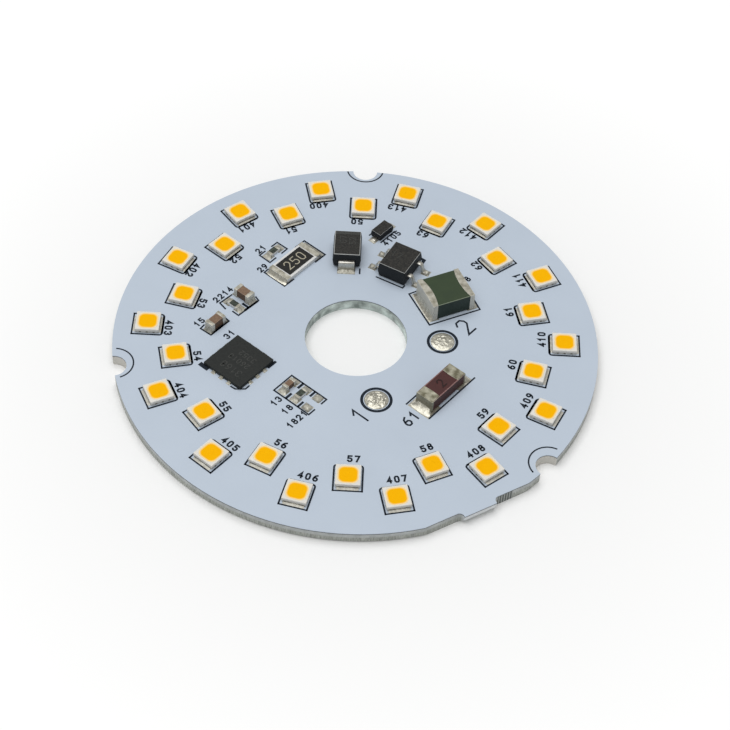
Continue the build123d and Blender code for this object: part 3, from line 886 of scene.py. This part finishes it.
def stroke(shape, points, width, where, closed=False):
    """Add a strip of ink along points in millimetres to a bmesh, with mitred corners."""
    spots = [Vector(point) for point in points]
    leaving = [(after - spot).normalized() for spot, after in zip(spots, spots[1:] + spots[:1])]
    if not closed:
        leaving[-1] = leaving[-2]
        spots[0] -= leaving[0] * width / 2
        spots[-1] += leaving[-1] * width / 2
    arriving = (leaving[-1:] if closed else leaving[:1]) + leaving[:-1]
    left, right = [], []
    for spot, way_in, way_out in zip(spots, arriving, leaving):
        mitre = Vector((-way_in.y - way_out.y, way_in.x + way_out.x)).normalized()
        half = width / 2 / max(mitre.dot(Vector((-way_in.y, way_in.x))), MITRE_LIMIT)
        left.append(spot + mitre * half)
        right.append(spot - mitre * half)
    edges = ((left, 0.0), (left, INK_HEIGHT), (right, INK_HEIGHT), (right, 0.0))
    rows = [[shape.verts.new(where @ Vector((*spot, level))) for spot in side] for side, level in edges]
    for index in range(len(spots) if closed else len(spots) - 1):
        after = (index + 1) % len(spots)
        for row, beside in zip(rows, rows[1:]):
            shape.faces.new((row[index], row[after], beside[after], beside[index]))
    if not closed:
        shape.faces.new([row[0] for row in rows])
        shape.faces.new([row[-1] for row in reversed(rows)])


def rounded_path(points, radius, steps=4):
    """Open path whose inner corners are rounded."""
    path = [points[0]]
    for before, corner, after in zip(points, points[1:], points[2:]):
        here = Vector(corner)
        back = (Vector(before) - here).normalized()
        ahead = (Vector(after) - here).normalized()
        for step in range(steps + 1):
            share = step / steps
            start = here + back * radius * (1 - share)
            path.append(tuple(start * (1 - share) + (here + ahead * radius * share) * share))
    return path + [points[-1]]


legend = bmesh.new()
frame_path = [(FRAME_OUTER, FRAME_SIDE), (FRAME_INNER, FRAME_SIDE), (FRAME_INNER, -FRAME_SIDE),
              (FRAME_OUTER, -FRAME_SIDE)]
led_strokes = (
    (rounded_path(frame_path, FRAME_ROUND), FRAME_LINE),
    ([frame_path[-1], frame_path[0]], SHUT_LINE),
    ([(FRAME_INNER, -BAR_HALF), (FRAME_INNER, BAR_HALF)], INK_AND_SHADE_BAR_LINE),
)
for where in led_seats:
    for points, width in led_strokes:
        stroke(legend, points, width, where)
print("legend faces", len(legend.faces))

# %% [markdown]
# A board's legend numbers its parts. Blender has a text object, but its letters would be curves with a
# font's character. The plotter pens of circuit drawings write in strokes, so the ten figures are short
# paths in a unit square, drawn with the same ink strip as the lines. The numbers are plain ones.

# %% Figures
DIGITS = {
    "0": [[(0.25, 0), (0.75, 0), (1, 0.2), (1, 0.8), (0.75, 1), (0.25, 1), (0, 0.8), (0, 0.2), (0.25, 0)]],
    "1": [[(0.15, 0.75), (0.55, 1), (0.55, 0)]],
    "2": [[(0, 0.8), (0.25, 1), (0.75, 1), (1, 0.8), (1, 0.6), (0, 0), (1, 0)]],
    "3": [[(0, 0.85), (0.25, 1), (0.75, 1), (1, 0.8), (1, 0.65), (0.7, 0.52), (1, 0.38), (1, 0.2),
           (0.75, 0), (0.25, 0), (0, 0.15)]],
    "4": [[(0.75, 0), (0.75, 1), (0, 0.3), (1, 0.3)]],
    "5": [[(0.95, 1), (0.1, 1), (0.05, 0.58), (0.75, 0.58), (1, 0.42), (1, 0.18), (0.75, 0), (0.25, 0),
           (0, 0.15)]],
    "6": [[(0.85, 1), (0.35, 0.85), (0, 0.45), (0, 0.2), (0.25, 0), (0.75, 0), (1, 0.2), (1, 0.38),
           (0.75, 0.54), (0.25, 0.54)]],
    "7": [[(0, 1), (1, 1), (0.35, 0)]],
    "8": [[(0.25, 0), (0.75, 0), (1, 0.18), (1, 0.38), (0.75, 0.54), (0.25, 0.54), (0, 0.38), (0, 0.18),
           (0.25, 0)],
          [(0.25, 0.54), (0.75, 0.54), (0.92, 0.68), (0.92, 0.86), (0.72, 1), (0.28, 1), (0.08, 0.86),
           (0.08, 0.68), (0.25, 0.54)]],
    "9": [[(0.15, 0), (0.65, 0.15), (1, 0.55), (1, 0.8), (0.75, 1), (0.25, 1), (0, 0.8), (0, 0.62),
           (0.25, 0.46), (0.75, 0.46)]],
}
DIGIT_WIDTH = 0.55
DIGIT_GAP = 0.22


def write_number(shape, number, height, line, where):
    """Draw a plain number with ink strokes, centred on its seat and reading along +X."""
    tall = height - line
    wide = tall * DIGIT_WIDTH
    step = wide + line + DIGIT_GAP * height
    for place, digit in enumerate(number):
        left = (place - (len(number) - 1) / 2) * step - wide / 2
        for path in DIGITS[digit]:
            points = [(left + x * wide, (y - 0.5) * tall) for x, y in path]
            closed = points[0] == points[-1]
            stroke(shape, points[:-1] if closed else points, line, where, closed)


print("figures", len(DIGITS))

# %% [markdown]
# The LEDs are numbered along both rings. Each number stands inward of its LED and reads square to the
# LED's direction, so one rule places all 28, and they need no list.

# %% LED numbers
NUMBER_INWARD = 2.67
NUMBER_ALONG = 0.62
NUMBER_SHIFT = (-0.09, 0.2)
NUMBER_HEIGHT = 1.02
NUMBER_LINE = 0.23
FIRST_NUMBERS = (50, 400)

led_numbers = [first + step for first in FIRST_NUMBERS for step in range(LEDS_IN_RING)]
for number, (radius, direction) in zip(led_numbers, led_places):
    centre = Vector(on_circuit(radius, direction)) + Vector(NUMBER_SHIFT)
    centre += Vector(polar(NUMBER_INWARD, direction + 180.0))
    centre += Vector(polar(NUMBER_ALONG, direction + 90.0))
    write_number(legend, str(number), NUMBER_HEIGHT, NUMBER_LINE, seat(centre, direction + 90.0))
print("LED numbers", led_numbers)

# %% [markdown]
# The driver's parts stand along 360/7 degrees or square to it, so the lines round them are easiest to
# measure along those two directions. A helper turns such a pair of lengths into a point on the board. A
# few lines were read straight off the board's own axes instead.

# %% Lines round the driver's parts
LAYOUT = 360.0 / 7.0
NOTCH_RADIUS = 2.4
NOTCH_HALF_ARC = 75.0
NOTCH_STEPS = 24
WIRE_PADS = ((2.88, -9.98), (10.74, -0.03))
WIRE_RING_RADIUS = 1.785
WIRE_RING_LINE = 0.36
WIRE_RING_STEPS = 40
FINE_LINE = 0.21
NOTCH_LINE = 0.9 * FINE_LINE


def laid(along, across):
    """Point on the board from its distances along the layout direction and square to it."""
    x, y = polar(1.0, LAYOUT)
    return along * x + across * y, along * y - across * x


def arc(centre, radius, start, end, steps):
    """Points on an arc round a centre, from one direction to another."""
    spokes = [polar(radius, start + (end - start) * step / steps) for step in range(steps + 1)]
    return [(centre[0] + x, centre[1] + y) for x, y in spokes]


fine_lines = [
    [(7.27, 8.31), (6.40, 7.81), (9.08, 2.67), (15.39, 5.76), (14.64, 7.35)],
    [laid(-4.05, 11.57), laid(3.4, 11.57)],
    [(9.32, -12.45), (14.70, -5.69)],
    [(2.18, 10.5), (5.55, 8.8), (5.79, 9.17)],
    [laid(6.57, -16.0), laid(8.15, -15.95), laid(8.12, -12.3), laid(6.3, -12.33)],
    [laid(1.2, -15.92), laid(0.48, -15.9), laid(0.44, -12.38), laid(2.1, -12.33)],
    [laid(-7.45, -15.2), laid(-7.2, -16.38), laid(-5.2, -16.25)],
    [laid(-7.15, -14.17), laid(-7.17, -13.2), laid(-3.6, -13.1), laid(-3.4, -13.75)],
    [(-18.92, 0.72), (-19.29, 0.11), (-17.9, -0.88), (-15.89, 1.61), (-16.37, 2.08)],
    [(0.0, 10.95), (0.0, 11.75)],
    [laid(3.3, -18.4), laid(2.3, -18.41), laid(2.26, -16.56), laid(3.35, -16.57)],
    [laid(4.57, -18.36), laid(5.55, -18.34), laid(5.57, -16.6), laid(4.54, -16.58)],
    [laid(-12.2, -1.65), laid(-13.2, -1.65), laid(-13.2, 4.0), laid(-12.2, 4.0)],
    [laid(-12.0, -1.65), laid(-10.0, -1.65), laid(-10.0, 4.0), laid(-10.9, 4.0)],
    [laid(14.7, -8.44), laid(17.4, -8.44)],
    [laid(14.7, -10.4), laid(15.5, -10.4)],
    [laid(-16.25, -5.87), laid(-16.21, -5.24), laid(-15.36, -4.31), laid(-14.73, -4.32)],
]
# Several of these lines are widened with painted shade, where a part's shadow lies beside them.
thick_ink_and_shade_lines = [
    (0.44, [(7.6, 14.3), (8.2, 13.88), (7.94, 13.32)]),
    (0.62, [laid(-16.12, -10.95), laid(-16.12, -10.1)]),
    (0.36, [laid(-10.9, -4.6), laid(-9.8, -4.6)]),
    (0.34, [laid(-10.1, 0.26), laid(-10.85, 0.26)]),
    (0.34, [laid(-13.1, 0.26), laid(-12.3, 0.26)]),
    (0.3, [laid(-10.1, 2.2), laid(-10.85, 2.2)]),
    (0.3, [laid(-13.1, 2.2), laid(-12.3, 2.2)]),
    (0.34, [(-17.75, -0.6), (-16.05, 1.5)]),
    (0.34, [laid(-5.35, -13.3), laid(-5.35, -14.1)]),
    (0.34, [laid(-5.9, -13.2), laid(-3.9, -13.12)]),
]
on_board = seat((0.0, 0.0), 0.0)
for points in fine_lines:
    stroke(legend, points, FINE_LINE, on_board)
for width, points in thick_ink_and_shade_lines:
    stroke(legend, points, width, on_board)
for place in WIRE_PADS:
    ring = arc(place, WIRE_RING_RADIUS, 0.0, 360.0, WIRE_RING_STEPS)[:-1]
    stroke(legend, ring, WIRE_RING_LINE, on_board, closed=True)
for number in NOTCH_PLACES:
    direction = FIRST_DIRECTION + number * LED_STEP
    ends = (direction + 180.0 - NOTCH_HALF_ARC, direction + 180.0 + NOTCH_HALF_ARC)
    bow = arc(on_circuit(BOARD_RADIUS, direction), NOTCH_RADIUS, *ends, NOTCH_STEPS)
    stroke(legend, bow, NOTCH_LINE, on_board)
print("lines", len(fine_lines) + len(thick_ink_and_shade_lines))

# %% [markdown]
# The driver's parts are numbered in small figures, all reading along the layout direction. The fuse has
# larger ones, and the two wire pads the largest. The whole legend is one layer of ink, with painted shade
# in its widened lines, so it becomes one piece.

# %% Numbers beside the driver's parts
SMALL = (0.95, 0.2)
MIDDLE = (1.5, 0.24)
LARGE = (2.6, 0.24)
driver_numbers = [
    ("21", laid(3.17, -19.05), SMALL), ("29", laid(0.88, -16.6), SMALL), ("2214", laid(-5.9, -17.1), SMALL),
    ("15", laid(-11.3, -16.0), SMALL), ("31", laid(-10.28, -11.85), SMALL),
    ("4105", laid(16.2, -7.95), SMALL), ("13", laid(-14.28, -0.3), SMALL), ("18", laid(-14.34, 1.55), SMALL),
    ("1821", laid(-14.7, 3.45), SMALL), ("8", laid(17.18, 3.95), SMALL), ("61", laid(-5.48, 13.39), MIDDLE),
    ("1", laid(-9.2, 8.6), LARGE), ("2", laid(10.5, 8.9), LARGE),
]
for number, place, (height, line) in driver_numbers:
    write_number(legend, number, height, line, seat(place, LAYOUT))
new_piece("board_legend", legend, legend_ink_and_shade, "white_mask")
print("numbers", len(driver_numbers))

# %% [markdown]
# Some parts carry a figure on their top: pale on the large resistor, dark on the fuse, and barely there on
# the mouldings, where a laser only roughened the plastic. Plain numbers stand in those places, in strokes
# as thin as ink. The places, directions and tops of the parts are the same as in the CAD model.

# %% Figures on the parts
RESISTOR_PLACE = (-8.37, 12.07)
FUSE_PLACE = (10.55, -8.3)
CHIP_PLACE = (-14.09, -5.31)
DIODE_PLACE = (-1.73, 14.04)
DIODE_DIRECTION = 90.0
BRIDGE_PLACE = (5.08, 11.95)
BRIDGE_DIRECTION = -27.0
RESISTOR_TOP = 0.62
FUSE_TOP = 1.8
CHIP_TOP = 0.55
DIODE_TOP = 2.37
BRIDGE_TOP = 2.32

part_figures = (
    ("resistor_figures", mark_ink, "black_glaze", RESISTOR_TOP, LAYOUT, 0.13,
     [("250", RESISTOR_PLACE, 1.45)]),
    ("fuse_figure", fuse_ink, "maroon_ceramic", FUSE_TOP, LAYOUT, 0.15, [("2", FUSE_PLACE, 1.3)]),
    ("chip_figures", etched_grey, "black_mould", CHIP_TOP, LAYOUT + 90.0, 0.11,
     [("3168", laid(-14.5, -7.5), 1.0), ("26018", laid(-13.0, -7.6), 0.8),
      ("3352", laid(-11.8, -7.3), 0.8)]),
    ("diode_figures", etched_grey, "black_mould", DIODE_TOP, DIODE_DIRECTION, 0.1,
     [("07", (-2.3, 14.6), 0.9), ("52", (-1.1, 14.4), 0.9)]),
    ("bridge_figures", etched_grey, "black_mould", BRIDGE_TOP, BRIDGE_DIRECTION, 0.1,
     [("17", (4.6, 12.4), 1.0)]),
)
for name, finish, slot, top, direction, line, rows in part_figures:
    shape = bmesh.new()
    for number, place, height in rows:
        write_number(shape, number, height, line, seat(place, direction, BOARD_TOP + top))
    new_piece(name, shape, finish, slot)
print("marked parts", len(part_figures))

# %% [markdown]
# The walls of an LED show how it is made: three cut stubs of the lead frame on each plain side. At the
# ends two dark slots over the bright edge of the plates are painted shade, for the shadowed gap above them.
# They are thin blocks let into the moulding.

# %% LED wall details and painted slot shade
PROUD = 0.006
LET_IN = 0.08
STUB_PLACES = (-0.85, 0.0, 0.85)
STUB_WIDTH = 0.25
STUB_LEVELS = (0.12, 0.3)
SHADE_SLOT_PLACES = ((-1.2, -0.45), (0.55, 1.2))
SHADE_SLOT_LEVELS = (0.2, 0.29)
BOTH_SIDES = (-1, 1)


def thin_block(xs, ys, zs):
    """Closed block between two values on each axis, in millimetres."""
    shape = bmesh.new()
    corners = [shape.verts.new((x, y, z)) for z in sorted(zs) for y in sorted(ys) for x in sorted(xs)]
    for face in ((0, 2, 3, 1), (4, 5, 7, 6), (0, 1, 5, 4), (2, 6, 7, 3), (0, 4, 6, 2), (1, 3, 7, 5)):
        shape.faces.new([corners[index] for index in face])
    return shape


wall_marks = []
for side in BOTH_SIDES:
    wall = (side * (half_led - LET_IN), side * (half_led + PROUD))
    for place in STUB_PLACES:
        wall_marks.append(thin_block((place - STUB_WIDTH / 2, place + STUB_WIDTH / 2), wall, STUB_LEVELS))
    # Painted shade: dark slots where the gap above the plates lies in shadow.
    for ends in SHADE_SLOT_PLACES:
        wall_marks.append(thin_block(wall, ends, SHADE_SLOT_LEVELS))
print("marks on each LED", len(wall_marks))
new_piece("led_stubs_and_slot_shade", copies(joined(wall_marks), led_seats), cut_lead_and_slot_shade, "tinned_metal")

# %% [markdown]
# Melted solder climbs a terminal and pulls itself into a hollow curve between the metal and the pad. The
# CAD joint is a wedge with one waist. A grid of points follows the hollow curve instead, widens towards
# the pad, rounds off at its sides, and gets a slight wave from a noise that is the same on every run.
# Solder on a bare pad has nothing to climb, so it draws up into a dome.

# %% Solder shapes
MASK_THICKNESS = 0.03
FILLET_STEPS = 10
FILLET_COLUMNS = 12
FILLET_HOLLOW = 1.8
FILLET_SIDE_SHARE = 0.25
FILLET_SIDE_DROP = 0.18
FILLET_WAVE = 0.2
FILLET_WAVE_SCALE = 1.5
DOME_WAVE_SCALE = 1.6
DOME_RIPPLE_SCALE = 4.5
DOME_FOLD_SCALE = 1.7
DOME_FOLD_SHARPNESS = 6.0


def fillet_point(out, side, width, foot, reach, height, hollow, seed):
    """Point of a fillet; out runs from 0 at the terminal to 1 at the pad's end, and side from -1 to 1."""
    half = (width + (foot - width) * math.sin(out * math.pi / 2)) / 2
    round_off = (1 - abs(side) ** 5) ** 0.5
    level = height * (1 - out) ** hollow * (FILLET_SIDE_SHARE + (1 - FILLET_SIDE_SHARE) * round_off)
    spot = Vector((out * reach * FILLET_WAVE_SCALE + seed, side * half * FILLET_WAVE_SCALE, seed * 0.7))
    level *= 1 + FILLET_WAVE * noise.noise(spot) * (1 - out) * round_off
    return out * reach * (1 - FILLET_SIDE_DROP * abs(side) ** 4), side * half, level


def solder_fillet(width, foot, reach, height, under=0.0, hollow=FILLET_HOLLOW, seed=0.0):
    """Hollow fillet from a terminal's face at x = 0 to the pad's end, and the film under the terminal."""
    shape = bmesh.new()
    outs = [step / FILLET_STEPS for step in range(FILLET_STEPS + 1)]
    sides = [2 * column / FILLET_COLUMNS - 1 for column in range(FILLET_COLUMNS + 1)]
    tops = [[shape.verts.new(fillet_point(out, side, width, foot, reach, height, hollow, seed))
             for side in sides] for out in outs]
    for row, after in zip(tops, tops[1:]):
        for left, right, far_right, far_left in zip(row, after, after[1:], row[1:]):
            shape.faces.new((left, right, far_right, far_left))
    border = tops[0] + [row[-1] for row in tops[1:]] + list(reversed(tops[-1][:-1]))
    border += [row[0] for row in reversed(tops[1:-1])]
    feet = [shape.verts.new((vert.co.x, vert.co.y, -MASK_THICKNESS)) for vert in border]
    for index in range(len(border)):
        after = (index + 1) % len(border)
        shape.faces.new((border[index], border[after], feet[after], feet[index]))
    shape.faces.new(list(reversed(feet)))
    bmesh.ops.recalc_face_normals(shape, faces=shape.faces)
    if under:
        return joined([shape, thin_block((under, 0.0), (-width / 2, width / 2), (-MASK_THICKNESS, 0.0))])
    return shape


def ripple(x, y, scale, seed):
    """Smooth noise at a place, the same on every run."""
    return noise.noise(Vector((x * scale, y * scale, seed)))


def solder_dome(half_length, half_width, height, power, wave, seed, sides=32, rings=9, fold=0.0):
    """Domed solder on a bare pad: rings that shrink upwards, with a wavy and maybe a folded skin."""
    rows = []
    for ring in range(rings):
        share = 1 - ring / rings
        free = 1 - share ** 4
        row = []
        for step in range(sides):
            turn = 2 * math.pi * step / sides
            across = math.copysign(abs(math.cos(turn)) ** (2 / power), math.cos(turn))
            along = math.copysign(abs(math.sin(turn)) ** (2 / power), math.sin(turn))
            x, y = half_length * share * across, half_width * share * along
            waves = ripple(x, y, DOME_WAVE_SCALE, seed) + 0.5 * ripple(x, y, DOME_RIPPLE_SCALE, seed + 3.0)
            crease = max(0.0, 1 - DOME_FOLD_SHARPNESS * abs(ripple(x, y, DOME_FOLD_SCALE, seed + 7.0)))
            row.append((x, y, height * (1 - share ** 2.4) ** 0.8 + (wave * waves + fold * crease) * free))
        rows.append(row)
    foot = [(x, y, -MASK_THICKNESS) for x, y, level in rows[0]]
    shape = ring_surface([foot] + rows)
    shape.faces.ensure_lookup_table()
    peak = bmesh.ops.poke(shape, faces=[shape.faces[-1]])["verts"][0]
    peak.co = (0.0, 0.0, height + wave * ripple(0.0, 0.0, 1.0, seed))
    bmesh.ops.recalc_face_normals(shape, faces=shape.faces)
    return shape


print("points in a fillet's top", (FILLET_STEPS + 1) * (FILLET_COLUMNS + 1))

# %% [markdown]
# Every joint needs the end of its terminal and the size of its pad. These are the same values as the CAD
# model's: the place, the direction, the length and width of a part, then its pad's length, width and
# reach past the terminal, and the height of the solder. The fuse's fillets lie low in front of its caps,
# and the bridge's leads also get a dome each. The first few joints are broad and shine more than the small
# ones, so they become a piece of their own.

# %% Joints of the driver's parts
CROSS = LAYOUT - 90.0
BOTH_ENDS = (0.0, 180.0)
FOUR_SIDES = (0.0, 90.0, 180.0, 270.0)
BRIDGE_HALF_LENGTH = 1.95
BRIDGE_LEAD_PLACES = (-1.27, 1.27)
BRIDGE_JOINT = (0.6, (1.1, 1.0, 0.25), 0.22)
BRIDGE_DOME = (0.4, 0.42, 0.34, 2.2, 0.05)
BRIDGE_DOME_SEEDS = (7.73, 10.27, 187.73, 190.27)
CHIP_LEAD_PLACES = (-1.27, 0.0, 1.27)
CHIP_LEAD_END = 3.08
CHIP_JOINT = (0.45, (0.85, 0.6, 0.22), 0.12)
FUSE_END = 3.15
FUSE_FILLET = (2.3, 2.9, 0.95, 0.52, -1.4, 1.6)
FUSE_FILLET_SEEDS = (3.1, 183.1)
EMPTY_PLACE = (-4.77, -10.98)
EMPTY_PAD_OUT = 0.95
EMPTY_PAD_DOME = (0.55, 0.62, 0.32, 3.0, 0.03)
EMPTY_PAD_SEEDS = (5.0, 185.0)
SEED_STEP = 1.7
SOLDER_SHARP = 50
BROAD_JOINTS = 6
two_ended = [
    ((10.95, 6.9), LAYOUT / 2, 5.7, 5.0, (1.5, 5.2, 0.6), 0.7),
    (RESISTOR_PLACE, LAYOUT, 6.3, 3.2, (1.5, 3.3, 0.65), 0.52),
    ((-15.47, 4.31), CROSS, 1.6, 0.85, (1.1, 1.25, 0.7), 0.38),
    ((-11.22, 13.95), LAYOUT, 1.6, 0.85, (1.1, 1.25, 0.7), 0.38),
    ((-6.24, -9.81), LAYOUT, 1.6, 0.85, (1.1, 1.25, 0.7), 0.38),
    ((-14.3, 5.79), CROSS, 2.4, 1.25, (1.0, 1.35, 0.35), 0.8),
    ((-17.49, 0.82), LAYOUT, 2.4, 1.25, (1.0, 1.35, 0.35), 0.8),
    ((-7.75, -8.6), LAYOUT, 1.6, 0.85, (1.1, 1.25, 0.7), 0.38),
    (DIODE_PLACE, DIODE_DIRECTION, 4.5 + 2 * 0.45, 2.05, (1.9, 2.3, 0.6), 0.2),
    ((2.64, 18.42), LAYOUT, 2.65 + 2 * 0.52, 0.55, (0.95, 1.05, 0.35), 0.13),
]
joints = []


def end_seats(place, direction, out, alongs=(0.0,), turns=BOTH_ENDS):
    """Seats a distance out from a part's middle, at each of its ends and each place along them."""
    return [further(seat(place, direction + turn), out, along) for turn in turns for along in alongs]


def add_joints(seats, width, pad, height):
    """A fillet on each seat; the joint's number sets its wave."""
    length, foot, reach = pad
    for where in seats:
        fillet = solder_fillet(width, foot, reach, height, under=reach - length,
                               seed=len(joints) * SEED_STEP)
        joints.append(placed(fillet, where))


for place, direction, length, width, pad, height in two_ended:
    add_joints(end_seats(place, direction, length / 2), width, pad, height)
for where, seed in zip(end_seats(FUSE_PLACE, LAYOUT, FUSE_END), FUSE_FILLET_SEEDS):
    joints.insert(0, placed(solder_fillet(*FUSE_FILLET, seed), where))
lead_ends, lead_bends = (end_seats(BRIDGE_PLACE, BRIDGE_DIRECTION, out, BRIDGE_LEAD_PLACES)
                         for out in (BRIDGE_HALF_LENGTH + 1.5, BRIDGE_HALF_LENGTH + 1.3))
add_joints(lead_ends, *BRIDGE_JOINT)
add_joints(end_seats(CHIP_PLACE, LAYOUT, CHIP_LEAD_END, CHIP_LEAD_PLACES, FOUR_SIDES), *CHIP_JOINT)
for where, seed in zip(end_seats(EMPTY_PLACE, LAYOUT, EMPTY_PAD_OUT), EMPTY_PAD_SEEDS):
    joints.append(placed(solder_dome(*EMPTY_PAD_DOME, seed), where))
for where, seed in zip(lead_bends, BRIDGE_DOME_SEEDS):
    joints.append(placed(solder_dome(*BRIDGE_DOME, seed), where))
smooth(new_piece("solder_fillets", joined(joints[BROAD_JOINTS:]), solder_metal, "solder", "solder_joints"),
       SOLDER_SHARP)
smooth(new_piece("broad_solder", joined(joints[:BROAD_JOINTS]), bright_solder, "solder"), SOLDER_SHARP)

# %% [markdown]
# The two wire pads were tinned by hand. One is smooth, and the other froze with folds in its skin. The LEDs
# were soldered in the oven, and show a narrow strip of solder at both ends.

# %% Tinned wire pads and LED solder
TINNED_RADIUS = 1.5
TINNED_SKINS = ((0.2, 0.13, 0.14, 7.2), (0.12, 0.035, 0.05, 3.4))
LED_SOLDER = (2.6, 2.6, 0.32, 0.1)
LED_SEED_STEP = 0.9

tinnings = []
for place, (height, wave, fold, seed) in zip(WIRE_PADS, TINNED_SKINS):
    dome = solder_dome(TINNED_RADIUS, TINNED_RADIUS, height, 2.0, wave, seed, sides=64, rings=20, fold=fold)
    tinnings.append(placed(dome, seat(place, 0.0)))
tinned = new_piece("wire_pad_tin", joined(tinnings), bright_solder, "solder", "wire_pad_tinning")
tinned.data.shade_smooth()
led_solder = []
for where in led_seats:
    for turn in BOTH_ENDS:
        strip = solder_fillet(*LED_SOLDER, seed=len(led_solder) * LED_SEED_STEP)
        turned = where @ Matrix.Rotation(math.radians(turn), 4, "Z")
        led_solder.append(placed(strip, further(turned, half_led)))
print("LED solder strips", len(led_solder))
smooth(new_piece("led_solder", joined(led_solder), dull_solder, "solder"), SOLDER_SHARP)

# %% [markdown]
# The rectifier's leads leave the body level, sweep down in a gull's wing and end in a foot. The CAD strips
# step down with square corners. Rings of four points along a smooth path give the pressed curve.

# %% Gull-wing leads
GULL_PATH = ((-0.3, 1.27), (0.3, 1.27), (0.44, 1.22), (0.56, 1.06), (0.66, 0.75), (0.76, 0.42), (0.88, 0.2),
             (1.04, 0.12), (1.5, 0.11))
GULL_WIDTH = 0.6
GULL_THICKNESS = 0.2
GULL_ROUND = 0.04


def bent_lead(path, width, thickness):
    """Strip of constant thickness along a path of (out, height) points."""
    rings = []
    for index, point in enumerate(path):
        before = Vector(path[max(index - 1, 0)])
        after = Vector(path[min(index + 1, len(path) - 1)])
        way = (after - before).normalized()
        lift = Vector((-way.y, way.x)) * thickness / 2
        upper, lower = Vector(point) + lift, Vector(point) - lift
        rings.append([(upper.x, -width / 2, upper.y), (upper.x, width / 2, upper.y),
                      (lower.x, width / 2, lower.y), (lower.x, -width / 2, lower.y)])
    shape = ring_surface(rings)
    bmesh.ops.recalc_face_normals(shape, faces=shape.faces)
    return shape


lead_seats = end_seats(BRIDGE_PLACE, BRIDGE_DIRECTION, BRIDGE_HALF_LENGTH, BRIDGE_LEAD_PLACES)
gull_leads = copies(bent_lead(GULL_PATH, GULL_WIDTH, GULL_THICKNESS), lead_seats)
soften(new_piece("bridge_gull_leads", gull_leads, lead_tin, "tinned_metal", "bridge_rectifier_leads"),
       GULL_ROUND)
print("gull-wing leads", len(lead_seats))

# %% [markdown]
# The fuse's caps cover its ends, top and foot, and leave the brown body bare along both long walls. The
# diode has a paler band at its cathode end. Both are thin plates let into the bodies.

# %% Fuse walls and diode band
FUSE_HALF_LENGTH = 2.95
FUSE_HALF_WIDTH = 1.25
FUSE_FOOT = 0.12
WALL_DEPTH = 0.14
WALL_ROUND = 0.07
BAND = ((1.5, 1.98), (-1.58, 1.58), (2.3, DIODE_TOP + PROUD))

walls = [thin_block((-FUSE_HALF_LENGTH, FUSE_HALF_LENGTH),
                    (side * (FUSE_HALF_WIDTH - WALL_DEPTH), side * (FUSE_HALF_WIDTH + PROUD)),
                    (FUSE_FOOT, FUSE_TOP + PROUD)) for side in BOTH_SIDES]
print("fuse walls", len(walls))
fuse_walls = new_piece("fuse_bare_walls", placed(joined(walls), seat(FUSE_PLACE, LAYOUT)), maroon_ceramic,
                       "maroon_ceramic")
soften(fuse_walls, WALL_ROUND, 3)
new_piece("diode_cathode_band", placed(thin_block(*BAND), seat(DIODE_PLACE, DIODE_DIRECTION)), etched_grey,
          "black_mould")
